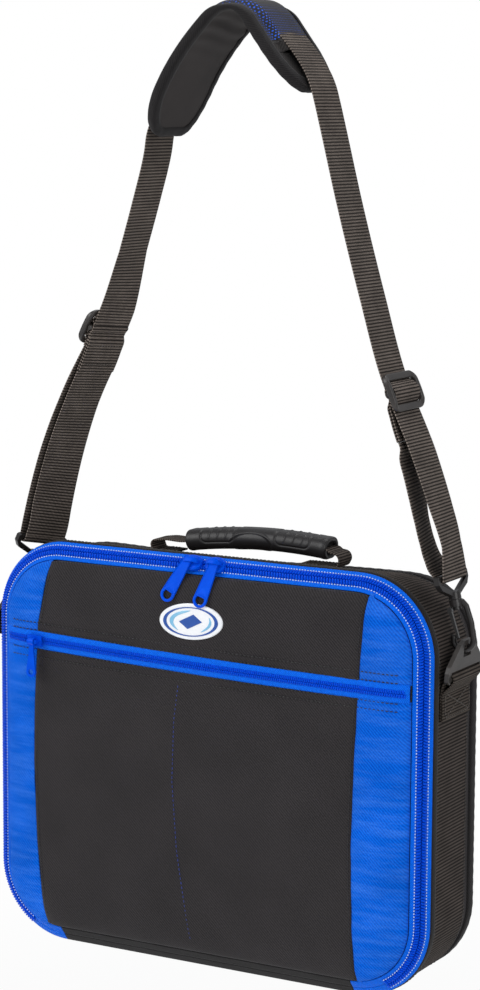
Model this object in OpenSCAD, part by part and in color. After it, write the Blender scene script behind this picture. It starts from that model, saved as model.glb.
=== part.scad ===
// Padded zip-round carry case with a carrying handle and a clip-on shoulder strap.
// The case hangs from its shoulder strap. Millimetres, +Z up, front of the case towards -Y.
// Origin: underside of the shoulder pad's arch, where the strap is hung up.

/* [Case] */
// Width over the zip rim
case_w = 360; // [320:1:420]
// Height over the zip rim
case_h = 305; // [280:1:360]
// Corner radius of the zip rim
corner_r = 58; // [50:1:66]
// From the hanging line forward to the zip rim
rim_front = 32; // [30:0.5:36]
// From the hanging line back to the back panel's face
case_back = 42; // [40:0.5:60]
// How far the gusset is set in from the rim at the sides and the bottom
gusset_inset = 3; // [2:0.5:5]
// How far the gusset is set in from the rim at the top
gusset_top_inset = 8; // [6:0.5:9]
// Thickness of the outer cloth
cloth_t = 1.2; // [0.8:0.1:2]
// Thickness of the foam in the walls
foam_t = 5; // [3:0.5:8]
// Thickness of the lining
lining_t = 0.8; // [0.5:0.1:1.2]

/* [Gusset bands] */
// Width of the ribbed band round the gusset
band_w = 50; // [40:1:52]
// Width of the bound edge behind the zip
front_binding_w = 8; // [5:0.5:8]
// Width of the bound edge at the back
rear_binding_w = 10; // [6:0.5:11]
// Thickness of all webbing
web_t = 1.6; // [1.2:0.1:2]

/* [Zip] */
// How far the lid's seam is set in from the rim
seam_inset = 13; // [11:0.5:15]
// How far the lid's seam stands in front of the rim
seam_rise = 10; // [8:0.5:12]
// Thickness of the zip tape
tape_t = 0.8; // [0.5:0.1:1]
// Width of the closed coil chain
chain_w = 7.4; // [6:0.1:8]
// Height of the coil chain over its tape
chain_h = 2.6; // [2:0.1:3]
// Angle from straight down at which the chain ends in the bottom corners
chain_end = 30; // [27:1:45]
// Distance of each slider from the middle of the case
slider_x = 9.5; // [9.2:0.1:14]
// Length of a zip slider
slider_len = 16; // [13:0.5:17]
// How far each slider runs outwards
slider_travel = 100; // [60:1:103]
// Length of a zip puller
puller_len = 35; // [30:1:38]
// Width of a zip puller
puller_w = 11.5; // [9:0.5:12]

/* [Lid] */
// How far the lid's padded face stands in front of its seam
face_rise = 7; // [5:0.5:9]
// Width of the rounded margin between the seam and the flat face
face_margin = 25; // [18:1:30]
// Width of the black middle panel
black_w = 266; // [220:1:290]
// Sideways place of the middle panel
black_x = -4; // [-8:1:8]
// From the rim's top down to the pocket zip, at the middle of the case
pocket_drop = 76; // [68.5:0.5:92.5]
// Slope of the pocket zip, down to the right
pocket_slope = 1.4; // [0:0.1:2]
// Width of the pocket zip's band
pocket_band_w = 13.4; // [11:0.1:16]
// Width of the pocket zip's chain
pocket_chain_w = 5; // [4:0.1:6]
// Place of the pocket slider from the middle, to the left
pocket_slider_x = 137; // [120:1:139]
// Width of the oval badge
badge_w = 52; // [40:1:56]
// Height of the oval badge
badge_h = 26; // [20:1:28]
// From the rim's top down to the badge's middle
badge_drop = 45.5; // [45:0.5:47.5]

/* [Handle] */
// Length of the moulded grip
grip_len = 116; // [96:1:124]
// Height of the grip's section
grip_h = 15.5; // [13:0.5:17]
// Depth of the grip's section
grip_d = 22; // [18:0.5:26]
// Width of the handle's webbing
handle_web_w = 20; // [16:0.5:21]
// Rise of the arched grip between its ends
grip_bow = 4; // [2:0.5:6]
// Sideways place of the grip
grip_x = 19; // [12:0.5:22]
// Depth of the handle's middle behind the hanging line
handle_y = 10; // [4:0.5:13]

/* [Side rings] */
// Width of the ring's webbing loop
loop_w = 45; // [38:1:46]
// Diameter of the ring's cross bar
ring_bar_d = 4.4; // [3.5:0.1:5]
// From the rim's top down to the ring's cross bar
ring_drop = 71.5; // [68.5:0.5:82.5]
// Thickness of the ring's plate
ring_t = 3.2; // [2.8:0.1:3.2]
// From the cross bar up to the middle of the hook's opening
ring_reach = 17.4; // [17:0.1:17.6]
// Width of the hook's opening in the ring
ring_hole_w = 12; // [10:0.5:14]

/* [Snap hooks] */
// Radius of the hook's bow, to the middle of its section
bow_r = 7; // [6.9:0.05:7.1]
// Diameter of the hook's section
hook_d = 4.2; // [3.6:0.1:4.2]
// From the bow's lowest point up to the swivel collar
collar_q = 31; // [30:0.5:34]
// Height of the swivel collar
collar_h = 5; // [4:0.5:6]
// Diameter of the swivel pin
pin_d = 4; // [3:0.1:4.5]
// Running clearance round the swivel pin
pin_gap = 0.08; // [0.03:0.01:0.1]
// From the bow's lowest point up to the strap bar
strap_bar_q = 53; // [50:0.5:58]
// Diameter of the strap bar
strap_bar_d = 4.4; // [3.5:0.1:5]

/* [Shoulder strap] */
// Width of the strap
strap_w = 38; // [30:1:40]
// Width of the shoulder pad
pad_w = 74; // [64:1:84]
// Thickness of the pad's foam
pad_foam_t = 5.1; // [4:0.1:7]
// Inner radius of the pad's arch
pad_arch_r = 16.2; // [14:0.2:20]
// Length of the pad's straight left limb
pad_left_len = 95; // [88:1:100]
// Length of the pad's straight right limb
pad_right_len = 60; // [50:1:66]
// Width of the pad's bound edge
binding_w = 8; // [6:0.5:10]
// Length of the strap adjusters, along the strap
glide_len = 27; // [22:1:30]
// Thickness of an adjuster's side rails
glide_rail_t = 4; // [3:0.1:4.5]

/* [Hidden] */
$fn = 48;
gap = 0.3;      // clearance between pieces that move past each other
seat = 0.05;    // clearance between pieces sewn or stuck together
eps = 0.01;

// Outlines, seen from the front: the zip rim, and the gusset a little inside it
half_w = case_w / 2;
half_h = case_h / 2;
pocket_z = half_h - pocket_drop;
badge_z = half_h - badge_drop;
ring_z = half_h - ring_drop;
gus_hw = half_w - gusset_inset;
gus_top = half_h - gusset_top_inset;
gus_bottom = -half_h + gusset_inset;
gus_hh = (gus_top - gus_bottom) / 2;
gus_cz = (gus_top + gus_bottom) / 2;
gus_r = corner_r - gusset_inset;
wall_t = cloth_t + foam_t + lining_t + 2 * seat;
band_out = web_t + seat;
band_front = (rim_front - front_binding_w) - gap;
side_skin = gus_hw + band_out;
top_skin = gus_top + band_out;

// The zip band slopes from the rim forward and inward to the lid's seam
band_ang = atan2(seam_rise, seam_inset);
band_run = norm([seam_rise, seam_inset]);
part_s = band_run / 2;                 // the parting line, along the band from the rim
seam_f = rim_front + seam_rise;
face_f = seam_f + face_rise;
lid_in_f = rim_front + part_s * sin(band_ang) + 1;
hinge_y = -(rim_front + part_s * sin(band_ang));
hinge_z = -(half_h - part_s * cos(band_ang));
seam_r = corner_r - seam_inset;
chain_s0 = part_s - chain_w / 2;
chain_s1 = part_s + chain_w / 2;

// A point of the band's section: s runs from the rim towards the seam, n stands off the band
function band_point(s, n) = [corner_r - s * cos(band_ang) + n * sin(band_ang),
                             rim_front + s * sin(band_ang) + n * cos(band_ang)];

// Rounded outline
module outline(hw, hh, r) {
  square([2 * hw, 2 * (hh - r)], center = true);
  square([2 * (hw - r), 2 * hh], center = true);
  for (sx = [-1, 1], sy = [-1, 1]) translate([sx * (hw - r), sy * (hh - r)]) circle(r);
}
module rim_outline(d = 0) outline(half_w - d, half_h - d, corner_r - d);
module gusset_outline(d = 0) translate([0, gus_cz]) outline(gus_hw - d, gus_hh - d, gus_r - d);

// Stands a drawing of the case's front up: drawing z becomes the way forward
module stand() rotate([90, 0, 0]) children();
module slab(f0, f1) stand() translate([0, 0, f0]) linear_extrude(f1 - f0) children();
module gusset_ring(f0, f1, d0, d1) slab(f0, f1) difference() {
  gusset_outline(d0);
  gusset_outline(d1);
}

// Carries a section round the rim. An open bottom leaves out the straight run there, and the
// bottom corners can stop short of straight down by an angle
module round_rim(open_bottom = false, low_turn = 0) stand() {
  side_x = half_w - corner_r;
  side_y = half_h - corner_r;
  for (k = open_bottom ? [0] : [0, 2])
    rotate([0, 0, 90 * k]) translate([-side_x, side_y, 0]) rotate([90, 0, 90]) linear_extrude(2 * side_x)
      children();
  for (m = [0, 1]) mirror([m, 0, 0]) {
    rotate([0, 0, 90]) translate([-side_y, side_x, 0]) rotate([90, 0, 90]) linear_extrude(2 * side_y)
      children();
    translate([-side_x, side_y, 0]) rotate([0, 0, 90]) rotate_extrude(angle = 90) children();
    translate([-side_x, -side_y, 0]) rotate([0, 0, 180]) rotate_extrude(angle = 90 - low_turn) children();
  }
}
module bottom_run() stand() rotate([0, 0, 180]) translate([corner_r - half_w, half_h - corner_r, 0])
  rotate([90, 0, 90]) linear_extrude(2 * (half_w - corner_r)) children();
module band_section(s0, s1, n0, n1)
  polygon([band_point(s0, n0), band_point(s1, n0), band_point(s1, n1), band_point(s0, n1)]);
tape_s0 = tape_t / tan(band_ang) + seat;   // where the tape clears the bound edge
tape_s1 = band_run - 0.7;

// ---- Case: gusset, back and bindings ----
module gusset_shell() color("#2b292b") hang()
  gusset_ring(cloth_t + seat - case_back, rim_front, 0, cloth_t);
module gusset_foam() color("#4a4a4c") hang()
  gusset_ring(cloth_t + foam_t + 2 * seat - case_back, rim_front - seat, cloth_t + seat,
              cloth_t + seat + foam_t);
module gusset_lining() color("#39393c") hang()
  gusset_ring(wall_t + seat - case_back, rim_front - seat, wall_t - lining_t, wall_t);
module gusset_band() color("#3a3533") hang() gusset_ring(band_front - band_w, band_front, -band_out, -seat);
module front_binding() color("#1d1c1d") hang()
  slab(rim_front - front_binding_w, rim_front - seat) difference() {
  rim_outline();
  gusset_outline(-seat);
}
module rear_binding() color("#1d1c1d") hang()
  gusset_ring(-case_back, rear_binding_w - case_back - 0.5, -band_out, -seat);
module back_panel() color("#2b292b") hang() slab(-case_back, cloth_t - case_back) gusset_outline();
module back_foam() color("#4a4a4c") hang()
  slab(cloth_t + seat - case_back, cloth_t + seat + foam_t - case_back) gusset_outline(cloth_t + seat);
module back_lining() color("#39393c") hang()
  slab(wall_t - lining_t - case_back, wall_t - case_back) gusset_outline(cloth_t + 2 * seat + foam_t);

// ---- Zip round the rim, parted along its chain, and the cloth hinge along the bottom ----
module zip_tape_case() color("#1a6cf0") hang() round_rim(true)
  band_section(tape_s0, part_s - gap / 2, -tape_t, 0);
module zip_chain_case() color("#0a3fe0") hang() round_rim(true, chain_end)
  band_section(chain_s0, part_s - gap / 2, seat, chain_h);
module zip_tape_lid() color("#1a6cf0") hang() round_rim(true)
  band_section(part_s + gap / 2, tape_s1, -tape_t, 0);
module zip_chain_lid() color("#0a3fe0") hang() round_rim(true, chain_end)
  band_section(part_s + gap / 2, chain_s1, seat, chain_h);
module hinge_cloth_case() color("#1d1c1d") hang() bottom_run()
  band_section(tape_s0, part_s - gap / 2, -tape_t, 0);
module hinge_cloth_lid() color("#1d1c1d") hang() bottom_run()
  band_section(part_s + gap / 2, tape_s1, -tape_t, 0);

// ---- Lid: lining, foam and the outer cloth, pieced together ----
// The face is flat with a margin rounded down to the seam
round_r = (face_margin * face_margin + face_rise * face_rise) / (2 * face_rise);
module face_solid(f0, skin) difference() {
  slab(f0, face_f + skin) rim_outline(seam_inset);
  round_rim() difference() {
    translate([seam_r - face_margin, seam_f - cloth_t - 3]) square([face_margin + 3, face_rise + 9]);
    translate([seam_r - face_margin, face_f - round_r]) circle(round_r + skin, $fn = 96);
  }
}
module face_skin() difference() {
  face_solid(seam_f - cloth_t, 0);
  face_solid(seam_f - cloth_t - 1, -cloth_t);
}
module columns(x0, x1) translate([x0, -case_w, -case_h]) cube([x1 - x0, case_w, 2 * case_h]);
module pocket_line() translate([0, 0, pocket_z]) rotate([0, pocket_slope, 0]) children();
cloth_edge = pocket_band_w / 2 - 1;        // from the pocket zip's line to the cloth's edge
module above_zip() pocket_line()
  translate([-case_w, -case_w, cloth_edge]) cube([2 * case_w, case_w, case_h]);
module below_zip() pocket_line()
  translate([-case_w, -case_w, -case_h - cloth_edge]) cube([2 * case_w, case_w, case_h]);
black_l = black_x - black_w / 2;
black_r = black_x + black_w / 2;

module lid_foam() color("#4a4a4c") hang() face_solid(lid_in_f + lining_t + seat, -cloth_t - seat);
module lid_lining() color("#39393c") hang() slab(lid_in_f, lid_in_f + lining_t) rim_outline(seam_inset);
module upper_part(x0, x1) intersection() {
  face_skin();
  columns(x0, x1);
  above_zip();
}
module lower_part(x0, x1) intersection() {
  face_skin();
  columns(x0, x1);
  below_zip();
}
module upper_panel() color("#2f2c2e") hang() upper_part(black_l, black_r);
module upper_side_left() color("#1565d8") hang() upper_part(-half_w, black_l - seat);
module upper_side_right() color("#1565d8") hang() upper_part(black_r + seat, half_w);
module pocket_panel() color("#2f2c2e") hang() lower_part(black_l, black_r);
module pocket_side_left() color("#1565d8") hang() lower_part(-half_w, black_l - seat);
module pocket_side_right() color("#1565d8") hang() lower_part(black_r + seat, half_w);

// ---- Pocket zip, and the oval badge ----
flat_hw = half_w - seam_inset - face_margin;   // half the width of the flat face
pocket_tape_f = face_f + seat;
pocket_chain_f = pocket_tape_f + tape_t + seat;
pocket_chain_top = pocket_chain_f + 1.5;
pocket_bar_f = pocket_chain_top + 4.7;
module on_pocket(f) pocket_line() stand() translate([0, 0, f]) children();
module pocket_zip_tape() color("#1a6cf0") hang() on_pocket(pocket_tape_f)
  linear_extrude(tape_t) square([2 * flat_hw - 2, pocket_band_w], center = true);
module pocket_zip_chain() color("#0a3fe0") hang() on_pocket(pocket_chain_f)
  linear_extrude(1.5) square([2 * flat_hw - 2, pocket_chain_w], center = true);
module pocket_slider() color("#1f4fe0") hang() on_pocket(pocket_chain_f) translate([-pocket_slider_x, 0, 0]) {
  for (m = [0, 1]) mirror([0, m, 0])
    translate([-6, pocket_chain_w / 2 + gap, gap]) cube([12, 1.2, 2.3]);
  translate([0, 0, 1.5 + gap]) linear_extrude(1.3)
    polygon([for (q = [[-6, -4], [6, -4], [6, 4], [-6, 4]]) [q[0], q[1] * (pocket_chain_w + 3) / 8]]);
  for (m = [0, 1]) mirror([m, 0, 0]) translate([2.7, -1.4, 1.5 + gap]) cube([1.3, 2.8, 5.6]);
  translate([-3.5, 0, pocket_bar_f - pocket_chain_f]) rotate([0, 90, 0]) cylinder(h = 7, r = 1);
}
// A zip puller: the eye at its top goes round the slider's bar, and the plate hangs below it,
// swung sideways by lean
module puller(length, width, bar_r, eye_w, lean = 0) difference() {
  union() {
    translate([-eye_w / 2, 0, 0]) rotate([0, 90, 0]) cylinder(h = eye_w, r = bar_r + 1.7);
    rotate([0, lean, 0]) translate([0, 0.8, 0]) stand() linear_extrude(1.6) {
      polygon([[-1.7, -1], [1.7, -1], [1.7, -5], [width / 2 - 2, -8], [width / 2, width / 2 - length],
               [-width / 2, width / 2 - length], [2 - width / 2, -8], [-1.7, -5]]);
      translate([0, width / 2 - length]) circle(width / 2);
    }
  }
  translate([-eye_w, 0, 0]) rotate([0, 90, 0]) cylinder(h = 2 * eye_w, r = bar_r + gap);
  rotate([0, lean, 0]) translate([0, 2, 0]) stand() linear_extrude(4) difference() {
    translate([0, width / 2 - length]) circle(width / 2 - 1.9);
    translate([-width, width / 2 - length + 1.9]) square([2 * width, width]);
  }
}
module pocket_puller() color("#1f4fe0") hang() on_pocket(pocket_bar_f) translate([-pocket_slider_x, 0, 0])
  rotate([-90, 0, 0]) puller(puller_len - 8, puller_w - 3.5, 1, 4.4);
module badge() color("#e8eef6") hang() stand() translate([-4.6, badge_z, face_f + seat]) rotate(3)
  linear_extrude(1.2) polygon([for (i = [0:47]) [badge_w / 2 * cos(7.5 * i), badge_h / 2 * sin(7.5 * i)]]);

// ---- Main sliders and pullers, in a frame on the zip band at the top ----
// Along the case is x, -y is s along the band towards the seam, z stands off the band
puller_tilt = 14.5;                         // the pullers rest against the rounded face
bar_s = part_s;
bar_n = chain_h + 5.2;
module on_band(x) translate([x, -rim_front, half_h]) rotate([90 - band_ang, 0, 0]) children();
flange_c = chain_s0 - 1.5;       // inner faces of the slider's two flanges, along the band
flange_l = chain_s1 + gap;
module slider_body() {
  rotate([90, 0, 90]) translate([0, 0, -slider_len / 2]) linear_extrude(slider_len) {
    polygon([[-flange_c + 1.3, chain_h + gap], [-flange_l - 1, chain_h + gap],
             [-flange_l - 1, chain_h + 0.8], [-flange_l + 0.4, chain_h + 1.9],
             [-flange_c, chain_h + 1.9], [-flange_c + 1.3, chain_h + 0.8]]);
    translate([-flange_l - 1, gap]) square([1, chain_h + eps]);
    translate([-flange_c, 1]) square([1.3, chain_h - 0.7 + eps]);
  }
  for (m = [0, 1]) mirror([m, 0, 0]) translate([4.6, -bar_s - 1.7, chain_h + 1]) cube([1.6, 3.4, 5.6]);
  translate([-5.4, -bar_s, bar_n]) rotate([0, 90, 0]) cylinder(h = 10.8, r = 1.2);
}
module zip_slider_left() color("#1f4fe0") hang() on_band(-slider_x) slider_body();
module zip_slider_right() color("#1f4fe0") hang() on_band(slider_x) slider_body();
bar_y = -rim_front - bar_s * sin(band_ang) - bar_n * cos(band_ang);
bar_z = half_h - bar_s * cos(band_ang) + bar_n * sin(band_ang);
module hung_puller(x, lean) translate([x, bar_y, bar_z]) rotate([-puller_tilt, 0, 0])
  puller(puller_len, puller_w, 1.2, 5, lean);
module zip_puller_left() color("#1f4fe0") hang() hung_puller(-slider_x - 1.7, 26);
module zip_puller_right() color("#1f4fe0") hang() hung_puller(slider_x + 1.7, 16);

// ---- Carrying handle ----
// A line drawn as a ribbon: p is the line, t its thickness
function ribbon_side(p, t, side) = [for (i = [0:len(p) - 1])
  let (d = p[min(i + 1, len(p) - 1)] - p[max(i - 1, 0)]) p[i] + side * t / 2 / norm(d) * [-d[1], d[0]]];
module ribbon(p, t) polygon(concat(ribbon_side(p, t, 1),
  [for (i = [len(p) - 1:-1:0]) ribbon_side(p, t, -1)[i]]));
// Extruded across the case, about the plane y
module across(y, width) translate([0, y + width / 2, 0]) stand() linear_extrude(width) children();

tab_z = top_skin + seat;
fold_left_x = grip_x - grip_len / 2 - 26;
fold_right_x = grip_x + grip_len / 2 + 6;
fold_left_r = 2.6;
fold_right_r = 4;
leg_left_z = tab_z + 1.5 * web_t + 2 * fold_left_r;
leg_right_z = tab_z + 1.5 * web_t + 2 * fold_right_r;
grip_z = tab_z + web_t + grip_h / 2 + 5.2;      // middle of the grip
grip_tilt = 1.7;
grip_r = (grip_len * grip_len / 4 + grip_bow * grip_bow) / (2 * grip_bow);
grip_half = asin(grip_len / 2 / grip_r);
function grip_point(u) = let (v = sqrt(grip_r * grip_r - u * u) - grip_r)
  [grip_x + u * cos(grip_tilt) - v * sin(grip_tilt), grip_z + u * sin(grip_tilt) + v * cos(grip_tilt)];

// A tab of webbing sewn to the case, folded up at one end; side is the way the fold faces
module tab(x, length, r, side) across(handle_y, handle_web_w) {
  translate([side > 0 ? x - length : x, tab_z]) square([length, web_t]);
  translate([x, tab_z + web_t + r]) difference() {
    circle(r + web_t);
    circle(r);
    translate([side > 0 ? -2 * r - web_t : 0, -2 * r - web_t])
      square([2 * r + web_t, 4 * r + 2 * web_t]);
  }
}
module handle_tab_left() color("#26272b") hang()
  tab(fold_left_x, 16.5, fold_left_r, -1);
module handle_tab_right() color("#26272b") hang() tab(fold_right_x, 28, fold_right_r, 1);
module handle_webbing() color("#26272b") hang() across(handle_y, handle_web_w)
  ribbon(concat([[fold_left_x + gap, leg_left_z], [fold_left_x + 6, leg_left_z + 0.3]],
    [for (u = [-1:0.125:1]) grip_point(u * (grip_len / 2 + 1))],
    [[fold_right_x - gap - 2, leg_right_z + 0.3], [fold_right_x - gap, leg_right_z]]), web_t);
module handle_grip() color("#1e1d1e") hang() translate([grip_x, handle_y, grip_z]) rotate([0, -grip_tilt, 0])
  stand() translate([0, -grip_r, 0]) rotate([0, 0, 90 - grip_half]) rotate_extrude(angle = 2 * grip_half)
    translate([grip_r, 0]) difference() {
      union() {
        square([grip_h, grip_d - grip_h], center = true);
        for (m = [-1, 1]) translate([0, m * (grip_d - grip_h) / 2]) circle(grip_h / 2);
      }
      square([web_t + 0.4, handle_web_w + 0.4], center = true);
    }

// ---- Side rings in their webbing loops ----
ring_x_right = side_skin + 7.65;
ring_x_left = side_skin + 12.85;
loop_bore = ring_bar_d / 2 + 0.4;
ring_lean_right = 5;      // outwards
ring_lean_left = -8;
ring_hole_0 = ring_reach - 4;
ring_hole_1 = ring_reach + 4.2;
module ring_loop(x) across(0, loop_w) difference() {
  union() {
    translate([side_skin + seat, ring_z - 31]) square([2 * web_t, 24]);
    translate([x, ring_z]) circle(loop_bore + web_t);
    polygon([[side_skin + seat, ring_z - 7], [side_skin + seat + 2 * web_t, ring_z - 11],
             [x + 2, ring_z - 3.6], [x - 2.5, ring_z + 3.3]]);
  }
  translate([x, ring_z]) circle(loop_bore);
}
ring_edge = [[25.5, -3], [27.5, -1], [27.5, 5], [25.6, 9], [11, ring_reach + 5.4],
             [6, ring_reach + 7.8]];
module side_ring(x, lean) translate([x, 0, ring_z]) rotate([0, lean, 0]) {
  rotate([90, 0, 90]) translate([0, 0, -ring_t / 2]) linear_extrude(ring_t) difference() {
    polygon([for (m = [1, -1], q = m > 0 ? ring_edge : [for (i = [5:-1:0]) ring_edge[i]]) [m * q[0], q[1]]]);
    translate([-23.2, -4]) square([46.4, 9.2]);
    translate([-ring_hole_w / 2, ring_hole_0]) square([ring_hole_w, ring_hole_1 - ring_hole_0]);
  }
  translate([0, 25, 0]) rotate([90, 0, 0]) cylinder(h = 50, r = ring_bar_d / 2);
}
module ring_loop_right() color("#26272b") hang() ring_loop(ring_x_right);
module ring_loop_left() color("#26272b") hang() mirror([1, 0, 0]) ring_loop(ring_x_left);
module side_ring_right() color("#1b1b1c") hang() side_ring(ring_x_right, ring_lean_right);
module side_ring_left() color("#1b1b1c") hang() mirror([1, 0, 0]) side_ring(ring_x_left, ring_lean_left);

// ---- Snap hooks, swivel eyes and gates ----
// In a hook's frame p (x) is outwards, z runs up the hook from the bottom of its bow
hook_r = hook_d / 2;
lean_right = 13.6;
lean_left = 25;
tip_left = 3;             // how far the left hook's axis tips back
eye_twist = 20;           // how far the left strap bar is swivelled
bow_turn = 15;            // how far each bow is swivelled about its hook's axis
origin_right = [ring_x_right + ring_reach * sin(ring_lean_right), 0,
                ring_z + ring_reach * cos(ring_lean_right)];
origin_left = [-ring_x_left - ring_reach * sin(ring_lean_left), 0,
               ring_z + ring_reach * cos(ring_lean_left)];
module hook_frame_right() translate(origin_right) rotate([0, -lean_right, 0]) children();
module hook_frame_left() translate(origin_left) rotate([-tip_left, lean_left, 0]) children();
collar_top = collar_q + collar_h;
module rod(a, b, r) hull() {
  translate([a[0], 0, a[1]]) sphere(r, $fn = 16);
  translate([b[0], 0, b[1]]) sphere(r, $fn = 16);
}
module snap_hook() {
  difference() {
    union() {
      translate([0, 0, bow_r]) rotate([90, 0, 0]) rotate([0, 0, 180]) rotate_extrude(angle = 180)
        translate([bow_r, 0]) circle(hook_r, $fn = 24);
      rod([-bow_r, bow_r], [-bow_r + 0.4, bow_r + 3], hook_r);
      rod([bow_r, bow_r], [bow_r + 0.8, 18], hook_r);
      rod([bow_r + 0.8, 18], [6.6, 30], hook_r);
      rod([6.6, 30], [4.4, collar_top - 2.4], hook_r);
      translate([0, 0, collar_q]) cylinder(h = collar_h, r = 4.6);
      for (m = [0, 1]) mirror([0, m, 0]) translate([0, 3.5, 0]) rotate([90, 0, 0]) linear_extrude(1.2)
        polygon([[-6.6, 27], [-3.7, 27], [-3.7, collar_q + 0.1], [-1.5, collar_q + 0.1],
                 [-1.5, collar_q + 2], [-6.6, collar_q - 0.4]]);
      translate([gate_p, 3, gate_q]) rotate([90, 0, 0]) cylinder(h = 6, r = 0.7);
    }
    cylinder(h = 80, r = pin_d / 2 + pin_gap);
    translate([0, 0, 20]) cylinder(h = collar_q - 20, r = 3.5);
  }
}
gate_p = -5;
gate_q = 28.7;
module hook_gate() difference() {
  union() {
    translate([gate_p, 1.9, gate_q]) rotate([90, 0, 0]) cylinder(h = 3.8, r = 1.5);
    translate([0, 1.9, 0]) rotate([90, 0, 0]) linear_extrude(3.8)
      polygon([[-6.2, 28], [-3.9, 28], [-2.5, bow_r + 2], [-4, bow_r + 2]]);
  }
  translate([gate_p, 3, gate_q]) rotate([90, 0, 0]) cylinder(h = 6, r = 0.85);
}
module hook_eye() {
  translate([0, 0, collar_q - 2.1]) cylinder(h = 1.8, r = 3);
  translate([0, 0, collar_q - 1]) cylinder(h = collar_h + 4, r = pin_d / 2);
  translate([0, 0, collar_top + 0.4]) cylinder(h = 4.6, r = 4.5);
  rotate([90, 0, 90]) translate([0, 0, -1.9]) linear_extrude(3.8) for (m = [0, 1]) mirror([m, 0, 0])
    polygon([[0, collar_top + 2.5], [6, collar_top + 2.8], [20, strap_bar_q - 8.6],
             [23.6, strap_bar_q - 4], [23.6, strap_bar_q + 1], [22, strap_bar_q + 2.1],
             [20.2, strap_bar_q + 2.1], [20.2, strap_bar_q - 4.2], [5, collar_top + 6.2], [0, collar_top + 5]]);
  translate([0, 21, strap_bar_q]) rotate([90, 0, 0]) cylinder(h = 42, r = strap_bar_d / 2);
}
module snap_hook_right() color("#1b1b1c") hang() hook_frame_right() rotate([0, 0, bow_turn]) snap_hook();
module snap_hook_left() color("#1b1b1c") hang()
  hook_frame_left() mirror([1, 0, 0]) rotate([0, 0, bow_turn]) snap_hook();
module hook_gate_right() color("#242425") hang() hook_frame_right() rotate([0, 0, bow_turn]) hook_gate();
module hook_gate_left() color("#242425") hang()
  hook_frame_left() mirror([1, 0, 0]) rotate([0, 0, bow_turn]) hook_gate();
module hook_eye_right() color("#1b1b1c") hang() hook_frame_right() hook_eye();
module hook_eye_left() color("#1b1b1c") hang() hook_frame_left() rotate([0, 0, -eye_twist]) hook_eye();

// ---- Strap adjusters ----
// In an adjuster's frame x is outwards and z runs up the strap, which passes at x = 0
adj_left = [-105, 0, ring_z + 227];
adj_right = [134.3, 0, ring_z + 194];
adj_lean_left = 28.15;
adj_lean_right = 23.5;
adj_turn = 11;            // how far the left adjuster is turned about the strap
bar_in = 5;               // the centre bar stands inside the strap
tail_q = 33;
module adjuster_frame_left() translate(adj_left) rotate([0, adj_lean_left, 0]) rotate([0, 0, -adj_turn])
  mirror([1, 0, 0]) children();
module adjuster_frame_right() translate(adj_right) rotate([0, -adj_lean_right, 0]) children();
glide_hw = strap_w / 2 + 0.4 + glide_rail_t;
// A rail's side view bulges to both faces of the strap
module rail_profile() intersection() {
  translate([17.4 - 7, 0]) circle(17.4);
  translate([5 - 51.5, 0]) circle(51.5);
  translate([-8, -glide_len / 2]) square([16, glide_len]);
}
module adjuster() intersection() {
  union() {
    for (m = [0, 1]) mirror([0, m, 0]) translate([0, glide_hw, 0]) stand() linear_extrude(glide_rail_t)
      rail_profile();
    for (m = [0, 1]) mirror([0, 0, m]) translate([web_t / 2 + gap, -strap_w / 2 - 1, glide_len / 2 - 5])
      cube([4.1 - web_t / 2 - gap, strap_w + 2, 5]);
    translate([-bar_in, strap_w / 2 + 1, 0]) rotate([90, 0, 0]) cylinder(h = strap_w + 2, r = 2);
  }
  rotate([90, 0, 90]) translate([0, 0, -8]) linear_extrude(16) outline(glide_hw, glide_len / 2, 6.5);
}
module sewn_loop() across(0, strap_w) difference() {
  union() {
    translate([-bar_in, 0]) circle(2.3 + web_t);
    translate([-bar_in - web_t, -tail_q]) square([2 * web_t, tail_q]);
    polygon([[-bar_in - web_t, -8], [-bar_in + web_t, -8], [-bar_in + 3.6, -1.6], [-bar_in - 3.6, -1.6]]);
  }
  translate([-bar_in, 0]) circle(2.3);
}
module adjuster_left() color("#2c2a29") hang() adjuster_frame_left() adjuster();
module adjuster_right() color("#2c2a29") hang() adjuster_frame_right() adjuster();
module sewn_loop_left() color("#2a2928") hang() adjuster_frame_left() sewn_loop();
module sewn_loop_right() color("#2a2928") hang() adjuster_frame_right() sewn_loop();

// ---- Shoulder strap ----
function turn_x(v, a) = [v[0], v[1] * cos(a) - v[2] * sin(a), v[1] * sin(a) + v[2] * cos(a)];
function turn_y(v, a) = [v[0] * cos(a) + v[2] * sin(a), v[1], v[2] * cos(a) - v[0] * sin(a)];
function turn_z(v, a) = [v[0] * cos(a) - v[1] * sin(a), v[0] * sin(a) + v[1] * cos(a), v[2]];
function unit(v) = v / norm(v);
function wide(t) = [sin(t), cos(t), 0];

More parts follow.
